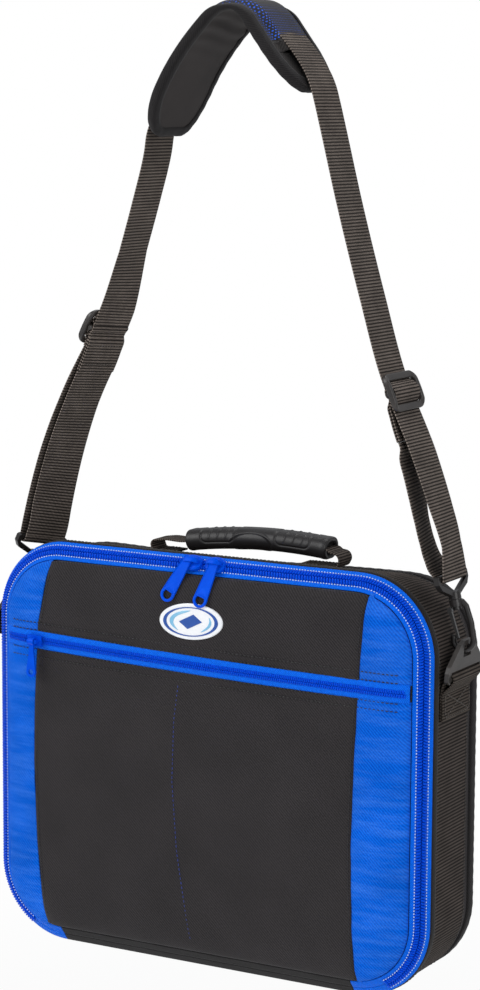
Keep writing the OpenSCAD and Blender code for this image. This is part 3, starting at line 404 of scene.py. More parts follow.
# The rear binding is a soft roll over the seam between the gusset and the back
line = gusset_line(901)
shape = np.array([[-2.0, -32.6], [1.3, -32.55], [1.75, -34.0], [1.9, -36.5], [1.85, -39.0],
                  [1.3, -41.2], [-0.4, -42.3], [-4.5, -42.75], [-8.6, -42.6], [-9.2, -41.9]])
ripple = 0.12 * np.sin(line[4][:, None] * 2 * np.pi / 8.0 + shape[None, :, 1])
piece = surface("rear_binding_tape", carried(line, shape[None, :, 0] + ripple, shape[:, 1])[:-1],
                grid(line[4], np.arange(10) * 2.2), binding_tape, CASE_CENTRE, closed_u=True)
fit(piece, "case", "binding", "rear_binding")


# ---- Stitching ----
# Bonded polyester thread, sewn about 8 stitches to the inch. Each stitch is a short bead that
# sinks into the cloth at both ends.
def six_sided(name, rings, finish, uv=None):
    """Bars with six sides, one for each row of rings, with both ends closed."""
    n, m = rings.shape[:2]
    j, k = grid(np.arange(m - 1), np.arange(6)).reshape(-1, 2).T
    after = (k + 1) % 6
    sides = np.stack([j * 6 + k, (j + 1) * 6 + k, (j + 1) * 6 + after, j * 6 + after], -1)
    caps = np.array([np.arange(6), 6 * m - 1 - np.arange(6)])
    first = 6 * m * np.arange(n)[:, None, None]
    faces = (sides + first).reshape(-1, 4).tolist() + (caps + first).reshape(-1, 6).tolist()
    return mesh_piece(name, rings.reshape(-1, 3), faces, uv, finish)


def rows_of_stitches(name, starts, ends, out, radius, finish, body, slot):
    """Each stitch is a six-sided spindle from its start to its end, thickest in the middle and
    lifted so that its ends lie under the cloth."""
    starts, ends, out = (np.asarray(a, float) for a in (starts, ends, out))
    along = ends - starts
    length = np.linalg.norm(along, axis=1, keepdims=True)
    along = along / length
    side = np.cross(along, out)
    side /= np.linalg.norm(side, axis=1, keepdims=True)
    up = np.cross(side, along)
    share = np.array([0.0, 0.14, 0.5, 0.86, 1.0])
    thick = np.array([0.25, 0.8, 1.0, 0.8, 0.25]) * radius
    turn = np.radians(np.arange(6) * 60.0)
    ring = (np.cos(turn)[None, None, :, None] * side[:, None, None, :]
            + np.sin(turn)[None, None, :, None] * up[:, None, None, :]) * thick[None, :, None, None]
    lift = up[:, None, :] * (thick[None, :, None] - 0.3 * radius)
    middles = starts[:, None, :] + (along * length)[:, None, :] * share[None, :, None] + lift
    points = middles[:, :, None, :] + ring
    # the thread's finish needs no uv: a zero for each corner of 4 by 6 quads and 2 ends
    corners = np.zeros((len(starts) * (4 * 6 * 4 + 2 * 6), 2))
    return fit(six_sided(name, points, finish, corners), body, slot)


def stitched(path, out, pitch, fill=0.72):
    """Stitches along a line of points: equal steps of the pitch, each with its share sewn."""
    path = np.asarray(path, float)
    s = np.concatenate([[0], np.cumsum(np.linalg.norm(np.diff(path, axis=0), axis=1))])
    begin = np.arange(0.5 * pitch, s[-1] - pitch, pitch)
    at = lambda q: np.stack([np.interp(q, s, path[:, k]) for k in range(3)], -1)
    out = np.broadcast_to(np.asarray(out, float), path.shape)
    ways = np.stack([np.interp(begin, s, out[:, k]) for k in range(3)], -1)
    return at(begin), at(begin + fill * pitch), ways


def thread(name, code, ply_shade="#050505"):
    """Thread of one colour, with painted shade in the hollows between its plies."""
    made, tree, shader = finish_of(name, Roughness=0.55, Sheen_Weight=0.2)
    at = add_node(tree, "ShaderNodeTexCoord").outputs["Object"]
    ply = add_node(tree, "ShaderNodeTexNoise", {"Vector": at, "Scale": 900.0})
    # the second colour, spread by a fine noise, is painted shade between the plies
    dressed(tree, shader, ply.outputs["Fac"], colour(code), colour(ply_shade))
    return made


brown_thread = thread("brown bonded thread", "#5a5048")
black_thread = thread("black bonded thread", "#2a2829")

STITCH = 3.2    # from one stitch to the next on the case's long seams
for name, line, offset, front, radius, slot in (
        ("gusset_front_stitches", gusset_line(1500), 1.3, 20.6, 0.24, "webbing"),
        ("gusset_rear_stitches", gusset_line(1500), 1.5, -23.6, 0.3, "webbing"),
        ("front_binding_stitches", rim_line(1500), -0.1, 26.4, 0.22, "binding")):
    path = carried(line, offset, front)[:, 0]
    ways = np.stack([line[2], np.zeros(1500), line[3]], -1)
    rows_of_stitches(name, *stitched(path, ways, STITCH), radius, black_thread, "case", slot)


# ---- Back panel ----
# The case's back is one quilted piece of the same black cloth over foam, held at its bound edge.
def dished(hw, top, bottom, r, rings, count):
    """Points of a rounded rectangle from its outline to its middle: the outline drawn in, ring by
    ring, while its corners keep their centres until they reach them. Also each ring's depth."""
    x, z, nx, nz, _ = rounded_line(hw, top, bottom, r, count + 1)
    middle = np.array([0.0, (top + bottom) / 2])
    depth = np.asarray(rings, float)
    near = np.minimum(depth, r)[None, :]
    px, pz = x[:, None] - nx[:, None] * near, z[:, None] - nz[:, None] * near
    rest = np.clip((depth - r) / (depth[-1] - r), 0, 1)[None, :]
    return px + (middle[0] - px) * rest, pz + (middle[1] - pz) * rest, depth[None, :]


rings = np.concatenate([[4.0, 6.0, 8.5, 12, 18, 26, 38, 54], np.linspace(62, 149, 18)])
px, pz, depth = dished(*GUSSET, rings, 480)
crown = 0.9 * np.clip((depth - 8) / 50, 0, 1) ** 0.6
crown = crown + 0.35 * np.sin(px / 37.0 + 0.6 * np.sin(pz / 50.0)) * np.sin(pz / 29.0) * (depth > 12)
points = settled(np.stack([px, 42.0 + crown, pz], -1)[:-1])
back_cloth = surface("back_cloth", points, np.stack([px, pz], -1), black_cloth, CASE_CENTRE, closed_u=True)
fit(wall(back_cloth, 1.1), "case", "black_cloth", "back_panel")


# ---- Lining ----
# Charcoal taffeta covers the foam inside the case. It runs up the walls and is turned over their
# front edge under the zip's tape.
lining_cloth = woven("charcoal taffeta lining", "#1d1d20", "#35353a", 1.2, 0.1)
line = gusset_line(601)
shape = np.array([[-6.2, -34.9], [-7.35, -34.0], [-7.5, -20.0], [-7.5, -5.0], [-7.5, 10.0], [-7.5, 24.0],
                  [-7.4, 30.5], [-6.8, 31.8], [-5.0, 32.3], [-2.8, 32.2], [-1.3, 32.0]])
fold = 0.25 * np.sin(line[4][:, None] / 17.0) * np.sin(shape[None, :, 1] / 8.0)
s = np.concatenate([[0], np.cumsum(np.hypot(*np.diff(shape, axis=0).T))])
piece = surface("wall_lining", carried(line, shape[None, :, 0] + fold, shape[:, 1])[:-1], grid(line[4], s),
                lining_cloth, closed_u=True)
fit(piece, "case", "lining_cloth", "gusset_lining", "gusset_foam")
rings = np.concatenate([[0, 1.5, 4, 9, 20, 35, 47.8], np.linspace(55, 139, 14)])
px, pz, depth = dished(169.8, 137.3, -142.3, 47.8, rings, 360)
puff = 0.7 * np.clip(depth / 25, 0, 1) + 0.3 * np.sin(px / 31.0) * np.sin(pz / 26.0) * (depth > 5)
piece = surface("back_lining_cloth", settled(np.stack([px, 34.75 - puff, pz], -1)[:-1]),
                np.stack([px, pz], -1), lining_cloth, (0, 60, 0), closed_u=True)
fit(wall(piece, 0.6), "case", "lining_cloth", "back_lining", "back_foam")


# ---- Zip round the rim ----
# A wide nylon coil zip: two woven tapes, each with a coil sewn along its edge. The tapes slope
# from the bound edge up to the lid's seam. Its ends meet at the cloth hinge along the bottom.
BAND = np.arctan2(10.0, 13.0)     # the band's slope
PART = 8.2                        # the parting line, from the rim along the band


def on_band(s, n):
    """A place on the sloping zip band, s from the rim and n off it, as offset and front."""
    return -s * np.cos(BAND) + n * np.sin(BAND), 32 + s * np.sin(BAND) + n * np.cos(BAND)


def herringbone(name, dark, light, pitch):
    """Woven zip tape: short ribs that lean one way and then the other across its width."""
    made, tree, shader = finish_of(name, Roughness=0.62, Specular_IOR_Level=0.3,
                                   Specular_Tint=colour("#2f6cff"))
    at = add_node(tree, "ShaderNodeTexCoord").outputs["UV"]
    split = add_node(tree, "ShaderNodeSeparateXYZ", {0: at})
    zig = add_node(tree, "ShaderNodeMath", {0: split.outputs["Y"], 1: 2.6}, operation="PINGPONG")
    lean = add_node(tree, "ShaderNodeMath", {0: split.outputs["X"], 1: zig.outputs[0]}, operation="ADD")
    turned = add_node(tree, "ShaderNodeCombineXYZ", {"X": lean.outputs[0]})
    ribs = add_node(tree, "ShaderNodeTexWave", {"Vector": turned.outputs[0], "Scale": WAVE / pitch},
                    bands_direction="X")
    fine = add_node(tree, "ShaderNodeTexNoise", {"Vector": at, "Scale": 0.6})
    dressed(tree, shader, ribs.outputs["Fac"], colour(dark), colour(light), ribs.outputs["Fac"], 0.5, 0.0003,
            (fine, 0.85, 1.1))
    return made


zip_tape = herringbone("blue woven polyester zip tape", "#0448d2", "#1680ff", 1.3)
# The zip runs from one bottom corner to the other; its share leaves out the straight bottom, where
# the hinge is
HINGE = 122.0     # half the hinge's length
rim_length = rim_line(2)[4][-1]
bottom_half = HINGE / rim_length


def tape(name, s0, s1, body, node):
    """A zip tape from s0 to s1 on the band, bowed by a quarter of a millimetre and softly waved."""
    line = rim_line(900, bottom_half, 1 - bottom_half)
    s = np.linspace(s0, s1, 9)
    bow = 0.25 * np.sin((s - s0) / (s1 - s0) * np.pi)[None, :]
    wave = bow + 0.10 * np.sin(line[4][:, None] / 9.0 + s[None, :])
    offset, front = on_band(s[None, :], wave - 0.05)
    piece = surface(name, carried(line, offset, front), grid(line[4], s), zip_tape, CASE_CENTRE)
    fit(wall(piece, 0.7), body, "zip_tape", node)


# Both tapes and the hinge below reach from these places to these on the band
ON_CASE, ON_LID = (0.65, PART - 0.16), (PART + 0.16, 15.7)
tape("zip_tape_on_case", *ON_CASE, "case", "zip_tape_case")
tape("zip_tape_on_lid", *ON_LID, "lid", "zip_tape_lid")

coil_nylon, tree, shader = finish_of("blue nylon zip coil", Specular_Tint=colour("#2f6cff"), Roughness=0.32,
                                     Specular_IOR_Level=0.55, Subsurface_Weight=0.05)
at = add_node(tree, "ShaderNodeTexCoord").outputs["Object"]
# drawn nylon filament: fine streaks, about half a millimetre apart
streak = add_node(tree, "ShaderNodeTexNoise", {"Vector": at, "Scale": 700.0, "Detail": 2.0})
dressed(tree, shader, streak.outputs["Fac"], colour("#0038c4"), colour("#0a5cee"))

# The coils end 30 degrees into the bottom corners
stop = 30.0 / 90.0 * (np.pi / 2 * RIM[3]) / rim_length
zip_from, zip_to = bottom_half + stop, 1 - bottom_half - stop
# One turn of the coil to every 2.2 mm. The two sides take turns, and each turn leans forward
TURN = 2.2


def turned_out(piece):
    """Points every face of a piece of closed shells outwards."""
    made = bmesh.new()
    made.from_mesh(piece.data)
    bmesh.ops.recalc_face_normals(made, faces=made.faces)
    made.to_mesh(piece.data)
    made.free()
    return piece


def coil_turn(sections, pitch, lean):
    """One turn of a coil, a flattened bar through sections of (place across, height of its middle,
    half height), leaning along by a share of the pitch: its rings' places along, across and up."""
    ring = np.radians(np.arange(6) * 60.0 + 30)
    q = np.array(sections, float)
    along = 0.42 * pitch * np.cos(ring) + lean * np.linspace(0, 1, len(q))[:, None] * pitch
    high = q[:, 1:2] + q[:, 2:3] * np.sin(ring)
    return along, np.broadcast_to(q[:, 0:1], high.shape), high


def rim_coil(name, sections, phase, body, node):
    """The rim's coil on one side: a turn at every pitch from the zip's start to its end."""
    turns = int((zip_to - zip_from) * rim_length / TURN)
    mids = zip_from * rim_length + (np.arange(turns) + 0.5 + phase) * TURN
    along, across, high = coil_turn(sections, TURN, 0.55)
    x, z, nx, nz, s = rim_line(4001)
    places = mids[:, None, None] + along
    offset, front = on_band(across, high)
    x, z, nx, nz = (np.interp(places, s, q) for q in (x, z, nx, nz))
    points = np.stack([x + nx * offset, np.broadcast_to(-front, x.shape), z + nz * offset], -1)
    fit(turned_out(six_sided(name, points, coil_nylon)), body, "zip_coil", node)


rim_coil("zip_coil_on_case", [(4.6, 0.8, 0.5), (5.4, 1.3, 1.1), (6.9, 1.35, 1.1), (7.6, 1.25, 1.0),
                              (8.02, 1.1, 0.6)], 0.0, "case", "zip_chain_case")
rim_coil("zip_coil_on_lid", [(11.8, 0.8, 0.5), (11.0, 1.3, 1.1), (9.5, 1.35, 1.1), (8.8, 1.25, 1.0),
                             (8.38, 1.1, 0.6)], 0.5, "lid", "zip_chain_lid")

# A row of thread holds each coil down along its outer edge. Its near-white colour is a painted highlight
# along the coil.
highlight_thread = thread("zip thread pale as a painted highlight", "#f2f7ff", "#7db2ff")
line = rim_line(2400, zip_from, zip_to)
for name, s, body in (("coil_stitches_on_case", 3.9, "case"), ("coil_stitches_on_lid", 12.5, "lid")):
    offset, front = on_band(s, 0.35)
    path = carried(line, offset, front)[:, 0]
    ways = np.stack([line[2] * np.sin(BAND), np.full(2400, -np.cos(BAND)), line[3] * np.sin(BAND)], -1)
    rows_of_stitches(name, *stitched(path, ways, 2.2, 0.55), 0.5, highlight_thread, body, "zip_tape")

# The cloth hinge: the lid's and the case's halves of a black strip, sewn along the bottom
for name, (s0, s1), body, node in (("hinge_strip_on_case", ON_CASE, "case", "hinge_cloth_case"),
                                   ("hinge_strip_on_lid", ON_LID, "lid", "hinge_cloth_lid")):
    u, s = np.linspace(-HINGE, HINGE, 160), np.linspace(s0, s1, 8)
    wave = 0.12 * np.sin(u[:, None] / 7.0) * np.sin((s[None, :] - s0) / (s1 - s0) * np.pi)
    offset, front = on_band(s[None, :], wave - 0.1)
    points = np.stack([np.broadcast_to(u[:, None], wave.shape), -np.broadcast_to(front, wave.shape),
                       RIM[2] - np.broadcast_to(offset, wave.shape)], -1)
    piece = surface(name, points, grid(u, s), binding_tape, CASE_CENTRE)
    fit(wall(piece, 0.7), body, "binding", node)


# ---- Lid: its padded face ----
# The face is pieced from black cloth in the middle and bright blue cloth at the sides. A pocket
# lies under the black and blue cloth below the slanting zip. All of it is stretched over foam.
blue_cloth = woven("blue nylon pack cloth", "#004cc0", "#0a6ce4", 1.3, 0.1, 0.5, "#5b96f6")
SLOPE = np.radians(1.4)


def pocket_line(x):
    """Height of the pocket zip at a place across the case; it sags by 1.2 mm in its middle."""
    return 76.5 - np.tan(SLOPE) * x - 1.2 * np.cos(np.clip(x / 142.0, -1, 1) * np.pi / 2)


def seam_at(z, table):
    """A seam's place across the case at a height, from a few measured places."""
    zs, xs = zip(*sorted(table))
    return np.interp(z, zs, xs)


# The side seams' heights and places across, and the lid's seam round the whole face
LEFT_SEAM = [(140, -127), (111, -133), (91, -137), (33, -139.5), (-13, -140.5), (-74, -138), (-135, -132)]
RIGHT_SEAM = [(140, 134), (86, 130), (22, 126.5), (-43, 124.5), (-100, 126), (-135, 128.5)]
LID_X, LID_Z, LID_R = 167.0, 139.5, 45.0


def face_front(x, z, creases):
    """The padded face: a quarter-round margin from the seam up to a flat, slightly crowned face,
    drawn in at the seams between the panels and at the pocket zip, with soft creases."""
    d = np.clip(-depth_in(x, z, LID_X, LID_Z, -LID_Z, LID_R), 0, None)
    u = np.clip(1 - d / 25.0, 0, 1)
    rise = 42.2 + 7.0 * np.sqrt(np.clip(1 - u ** 2, 0, 1)) - 0.5 * u
    near = np.minimum(np.abs(x - seam_at(z, LEFT_SEAM)), np.abs(x - seam_at(z, RIGHT_SEAM)))
    band = np.abs(z - pocket_line(x))
    rise = rise - 0.7 * np.exp(-(near / 3.0) ** 2) * (d > 2)
    rise = rise - 0.25 * np.exp(-(np.clip(band - 7, 0, 99) / 4.0) ** 2)
    rise = rise + 0.5 * np.sin((x + 20) / 61.0) * np.sin(z / 47.0) * np.clip(d / 30, 0, 1)
    # gathers run in from the edge where the cloth is eased round the padding
    edge = np.exp(-((d - 9) / 9.0) ** 2)
    rise = rise + 0.22 * edge * np.sin(x / 5.5 + np.sin(z / 13.0)) * np.sin(z / 6.5 + np.sin(x / 11.0))
    return rise + creases(x, z) * np.clip(d / 8, 0, 1)


def face_panel(name, x_of, z_of, nu, nv, cloth, slot, node, creases):
    """A panel: rows of equal steps in height, each from its left to its right edge."""
    v = (np.sin(np.linspace(-np.pi / 2, np.pi / 2, nv)) + 1) / 2 * 0.5 + np.linspace(0, 1, nv) * 0.5
    u = np.linspace(0, 1, nu)
    mid = (x_of(0.0)[0] + x_of(0.0)[1]) / 2
    z = np.broadcast_to(v[:, None], (nv, nu)).copy()
    x = np.full((nv, nu), mid)
    for _ in range(3):  # the zip line slants, so the heights and the edges are settled in turns
        low, high = z_of(x)
        z = low + (high - low) * v[:, None]
        left, right = x_of(z)
        # the rounded corners leave this much room to either side
        past = np.clip(np.abs(z) - (LID_Z - LID_R), 0, LID_R)
        room = LID_X - LID_R + np.sqrt(np.clip(LID_R ** 2 - past ** 2, 0, None))
        left, right = np.maximum(left, -room), np.minimum(right, room)
        # and a row that they would cut shorter than 3 mm is widened outwards
        short = np.clip(3.0 - (right - left), 0, None)
        left, right = left - short * (left < -100), right + short * (right > 100) * (left > 0)
        x = left + (right - left) * u[None, :]
    points = np.stack([x, -face_front(x, z, creases), z], -1)
    piece = surface(name, points, np.stack([x, z], -1), cloth, CASE_CENTRE)
    fit(wall(piece, 1.1), "lid", slot, node)


def calm(x, z):
    """The black cloth: almost flat, with soft folds that run down from the rim's seam on both
    sides of the badge."""
    folds = (np.sin(x / 5.5 + z / 38.0 + 1.5 * np.sin(x / 31.0)) - 1) * np.exp(-((z - 114) / 17) ** 2)
    return (0.5 * folds * (1 - np.exp(-(x / 55.0) ** 4)) + 0.25 * np.sin(x / 23.0 + z / 31.0)
            + 0.15 * np.sin(x / 9.0 - z / 13.0))


def rumpled(x, z):
    """Creases of the blue cloth: long soft ones that run down and outwards from the zip."""
    a = np.sin((z + 0.35 * np.abs(x)) / 8.0 + 1.3 * np.sin(z / 23.0))
    b = np.sin((z - 0.5 * np.abs(x)) / 5.2 + 2.0)
    return 0.42 * a * np.exp(-((np.abs(x) - 145) / 16.0) ** 2) + 0.18 * b


EDGE = 5.9     # the cloth is turned under this far from the zip's line
above = lambda x: (pocket_line(x) + EDGE, 0 * x + LID_Z)
below = lambda x: (0 * x - LID_Z, pocket_line(x) - EDGE)
middle = lambda z: (seam_at(z, LEFT_SEAM), seam_at(z, RIGHT_SEAM))
outer_left = lambda z: (0 * z - LID_X, seam_at(z, LEFT_SEAM) - 0.1)
outer_right = lambda z: (seam_at(z, RIGHT_SEAM) + 0.1, 0 * z + LID_X)
for part, z_of, rows in (("upper", above, 40), ("pocket", below, 110)):
    face_panel(f"{part}_black_panel", middle, z_of, 130, rows, black_cloth, "black_cloth",
               f"{part}_panel", calm)
    for side, x_of in (("left", outer_left), ("right", outer_right)):
        face_panel(f"{part}_blue_{side}", x_of, z_of, 26, rows, blue_cloth, "blue_cloth",
                   f"{part}_side_{side}", rumpled)

# The lid's lining: taffeta over a flat board, wrapped a little round its edge
rings = np.concatenate([[0, 1.5, 4, 9, 20, 35, 44.6], np.linspace(52, 139, 14)])
px, pz, depth = dished(166.6, 139.1, -139.1, 44.6, rings, 360)
puff = 0.5 * np.clip(depth / 20, 0, 1) + 0.25 * np.sin(px / 27.0) * np.sin(pz / 33.0) * (depth > 5)
piece = surface("lid_lining_cloth", np.stack([px, -38.6 + puff, pz], -1)[:-1], np.stack([px, pz], -1),
                lining_cloth, (0, -70, 0), closed_u=True)
fit(wall(piece, 0.6), "lid", "lining_cloth", "lid_lining")

# The foam's cut edge between the lining and the face, seen when the lid is open
edge_foam, tree, shader = finish_of("grey polyethylene foam", Base_Color=colour("#4a4a4c"), Roughness=0.9)
at = add_node(tree, "ShaderNodeTexCoord").outputs["Object"]
# closed cells, about 1 mm across
cells = add_node(tree, "ShaderNodeTexVoronoi", {"Vector": at, "Scale": 900.0})
relief = add_node(tree, "ShaderNodeBump", {"Height": cells.outputs["Distance"], "Strength": 0.5,
                                           "Distance": 0.0004})
tree.links.new(relief.outputs[0], shader.inputs["Normal"])
line = rounded_line(166.4, 138.9, -138.9, 44.4, 481)
front = np.linspace(38.7, 42.0, 5)
piece = surface("lid_foam_edge", carried(line, 0.15 * np.sin(front / 1.3)[None, :], front)[:-1],
                grid(line[4], front), edge_foam, CASE_CENTRE, closed_u=True)
fit(piece, "lid", "foam", "lid_foam")


# ---- Pocket zip ----
# A narrow coil zip across the face: its tape is sewn under the turned edges of the cloth, and
# runs into the rim's seam at both ends.
def seam_front(x, z):
    """The face's front along a seam, where the cloth is held without creases."""
    return face_front(x, z, lambda a, b: 0.0 * a)


def on_face(x, w, lift):
    """A place on the face: x across, w up from the pocket zip's line, lifted off the face."""
    z = pocket_line(x) + w
    return np.stack(np.broadcast_arrays(x, -(seam_front(x, z) + 0.4 + lift), z), -1)


EDGE_X = 166.6    # the tape's end, in the rim's seam
x = np.linspace(-EDGE_X, EDGE_X, 330)[:, None]
w = np.linspace(-6.6, 6.6, 12)[None, :]
points = on_face(x, w, 0.45 - 0.012 * w ** 2)
piece = surface("pocket_tape", points, grid(x[:, 0], w[0]), zip_tape, CASE_CENTRE)
fit(wall(piece, 0.5), "lid", "zip_tape", "pocket_zip_tape")

POCKET_TURN = 1.7
turns = int(2 * (EDGE_X - 2) / POCKET_TURN)
mids = -EDGE_X + 2 + (np.arange(turns) + 0.5) * POCKET_TURN
along, w, high = coil_turn([(2.6, 0.6, 0.3), (2.1, 0.85, 0.62), (0.9, 0.9, 0.62), (0.12, 0.75, 0.4)],
                           POCKET_TURN, 0.4)
points = np.concatenate([on_face(mids[:, None, None] + along + shift, way * w, high)
                         for way, shift in ((1.0, 0.0), (-1.0, 0.5 * POCKET_TURN))])
fit(turned_out(six_sided("pocket_coil", points, coil_nylon)), "lid", "zip_coil", "pocket_zip_chain")

# Rows of stitches: one close to each turned edge of the cloth and one 5 mm further off
x = np.linspace(-161.0, 161.0, 600)
out = np.array([0.0, -1.0, 0.0])
seam_thread = thread("dark seam thread", "#0a0909")
for name, w in (("upper_edge_stitches", 7.2), ("upper_second_stitches", 12.8),
                ("lower_edge_stitches", -7.2), ("lower_second_stitches", -12.8)):
    rows_of_stitches(name, *stitched(on_face(x, w, -0.3), out, STITCH), 0.36, seam_thread, "lid",
                     "black_cloth")
# The side seams have a row of stitches on the black cloth
for name, table, shift in (("left_seam_stitches", LEFT_SEAM, 2.2), ("right_seam_stitches", RIGHT_SEAM, -2.2)):
    z = np.linspace(-131.0, 131.0, 400)
    for part, keep in (("upper", z > 76.5 + 14), ("lower", z < 76.5 - 14)):
        line_x = seam_at(z[keep], table) + shift
        points = np.stack([line_x, -(seam_front(line_x, z[keep]) + 0.05), z[keep]], -1)
        rows_of_stitches(f"{name}_{part}", *stitched(points, out, STITCH), 0.32, seam_thread, "lid",
                         "black_cloth")

# The pocket is divided by a seam down its middle, sewn with blue thread that shows in short dashes
divider = [(62, -15), (33, -19), (-12, -20.5), (-63, -16.6), (-85, -13), (-133, -4.6)]
blue_thread = thread("blue bonded thread", "#1e4fd0")
z = np.linspace(61.0, -131.0, 400)
line_x = seam_at(z, divider)
points = np.stack([line_x, -seam_front(line_x, z), z], -1)
rows_of_stitches("divider_stitches", *stitched(points, out, 3.4, 0.6), 0.28, blue_thread, "lid",
                 "black_cloth")


# ---- Oval badge ----
# A moulded vinyl badge sewn to the face: a white oval with a dark blue ring, thick at its sides,
# round two pale blue crescents and a plain dark blue lozenge.
def ellipse(rx, ry, start=0.0, stop=360.0, count=96):
    """Points of an ellipse's arc from start to stop, in degrees."""
    turn = np.radians(np.linspace(start, stop, count + 1))[:count + (stop - start < 360)]
    return np.stack([rx * np.cos(turn), ry * np.sin(turn)], -1)


BADGE_X, BADGE_Z, BADGE_LEAN = -4.6, 107.0, 3.0     # the badge's middle, and its lean in degrees


def moulding(name, outer, inner, low, high, finish, closed=True):
    """A band between two lines, or a plate where the inner line is a point, with rounded edges. It
    is leaned by t: x' = x cos t - z sin t, z' = x sin t + z cos t, and set at the badge's middle."""
    if inner.any():
        share = np.array([0.0, 0.02, 0.08, 0.2, 0.8, 0.92, 0.98, 1.0])
        rise = np.array([0.0, 0.6, 0.9, 1.0, 1.0, 0.9, 0.6, 0.0])
    else:
        share = np.array([0.0, 0.3, 0.6, 0.85, 0.95, 0.985, 1.0, 1.001])
        rise = np.array([1.0, 1.0, 1.0, 1.0, 0.96, 0.8, 0.5, 0.0])
    flat = inner[:, None] + (outer - inner)[:, None] * share[None, :, None]
    c, s = np.cos(np.radians(BADGE_LEAN)), np.sin(np.radians(BADGE_LEAN))
    x = BADGE_X + c * flat[..., 0] - s * flat[..., 1]
    z = BADGE_Z + s * flat[..., 0] + c * flat[..., 1]
    points = np.stack([x, -(low + (high - low) * rise[None, :] + 0.0 * x), z], -1)
    uv = np.stack([x, z], -1)
    piece = surface(name, points, np.concatenate([uv, uv[:1]]) if closed else uv, finish, CASE_CENTRE,
                    closed_u=closed)
    return fit(piece, "lid", "badge_plastic")


def vinyl(name, code, light):
    """Glossy moulded vinyl, with a faint cloud of a lighter tone about 8 mm across."""
    made, tree, shader = finish_of(name, Roughness=0.28, Specular_IOR_Level=0.5, Coat_Weight=0.3)
    at = add_node(tree, "ShaderNodeTexCoord").outputs["UV"]
    cloud = add_node(tree, "ShaderNodeTexNoise", {"Vector": at, "Scale": 0.12, "Detail": 2.0})
    dressed(tree, shader, cloud.outputs["Fac"], colour(code), colour(light))
    return made


white_vinyl = vinyl("white moulded vinyl", "#eef2f8", "#ffffff")
dark_vinyl = vinyl("dark blue moulded vinyl", "#1c4796", "#2a5db4")
pale_vinyl = vinyl("pale blue moulded vinyl", "#5fb0dc", "#a9d8f0")
outline = ellipse(26.2, 13.2)
base = moulding("badge_plate", outline, 0 * outline, 48.9, 50.4, white_vinyl)
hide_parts("badge")
moulding("badge_ring", ellipse(22.8, 10.7), ellipse(19.8, 9.9), 50.2, 50.75, dark_vinyl)
for name, start, stop, wide in (("left", 88.0, 232.0, 3.6), ("right", -62.0, 26.0, 2.4)):
    swell = wide * np.sin(np.linspace(0, np.pi, 49)) ** 0.7
    line = ellipse(17.4, 8.2, start, stop, 48)
    moulding(f"badge_crescent_{name}", line, line * (1 - swell / np.hypot(*line.T))[:, None], 50.2, 50.65,
             pale_vinyl, closed=False)
# the lozenge leans: |x - z / 2| / 9.6 + |z| / 5.4 is one along its edge
turn = np.radians(np.arange(96) * 3.75)
far = 1 / (np.abs(np.cos(turn)) / 9.6 + np.abs(np.sin(turn)) / 5.4)
outline = np.stack([far * (np.cos(turn) + 0.5 * np.sin(turn)), far * np.sin(turn)], -1)
moulding("badge_lozenge", outline, 0 * outline, 50.2, 50.8, dark_vinyl)


# ---- Zip sliders and pullers ----
# Die-cast zinc, stove-enamelled in glossy blue. Its blue is a little lighter and darker in soft clouds.
enamel, tree, shader = finish_of("glossy blue stove enamel on zinc", Roughness=0.3,
                                 Specular_IOR_Level=0.5, Specular_Tint=colour("#2f6cff"))
at = add_node(tree, "ShaderNodeTexCoord").outputs["Object"]
# orange peel of the sprayed enamel, about 1.5 mm across
peel = add_node(tree, "ShaderNodeTexNoise", {"Vector": at, "Scale": 650.0, "Detail": 1.0})
worn = add_node(tree, "ShaderNodeTexNoise", {"Vector": at, "Scale": 90.0, "Detail": 3.0})
dressed(tree, shader, worn.outputs["Fac"], colour("#0044d0"), colour("#0058ea"), peel.outputs["Fac"], 0.15,
        0.0003)


def refinish(node, finish, bevel):
    """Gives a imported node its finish, and rounds its edges by a bevel in millimetres."""
    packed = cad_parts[node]
    packed.data.materials.clear()
    packed.data.materials.append(finish)
    rounding = packed.modifiers.new("rounded edges", "BEVEL")
    rounding.width, rounding.segments, rounding.limit_method = bevel / 1000.0, 2, "ANGLE"


refinish("pocket_slider", enamel, 0.4)
refinish("pocket_puller", enamel, 0.4)


def unit(v):
    """A vector, or each of many, made one long."""
    v = np.asarray(v, float)
    return v / np.linalg.norm(v, axis=-1, keepdims=True)


BAR_S, BAR_N = 8.2, 7.8          # the slider's bar, along the band and off it
bar_offset, bar_front = on_band(BAR_S, BAR_N)


def on_slider(x, s, n):
    """A place on the top of the zip band: x across, s along the band, n off it."""
    offset, front = on_band(s, n)
    return np.stack(np.broadcast_arrays(x, -front, RIM[1] + offset), -1)


def tube(name, line, half_wide, half_high, count=16):
    """A closed flat bar along a line of (x, s, n) on the band, its ends drawn in to a point."""
    line = np.asarray(line, float)
    along = unit(np.gradient(line, axis=0))
    side = np.array([0.0, 1.0, 0.0])
    up = unit(np.cross(along, side))
    a = np.linspace(0, 2 * np.pi, count + 1)[:-1]
    round_off = np.sqrt(np.clip(1 - np.linspace(-1, 1, len(line)) ** 12, 0.0004, 1))[:, None, None]
    ca, sa = (np.sign(f) * np.abs(f) ** 0.6 for f in (np.cos(a), np.sin(a)))
    section = half_wide * ca[None, :, None] * side + half_high * sa[None, :, None] * up[:, None]
    rings = line[:, None] + round_off * section
    uv = grid(np.arange(len(line)) * 0.5, np.arange(count + 1) * 0.8)
    points = on_slider(*np.moveaxis(rings, -1, 0))
    return turned_out(surface(name, points, uv, enamel, closed_v=True, caps=True))


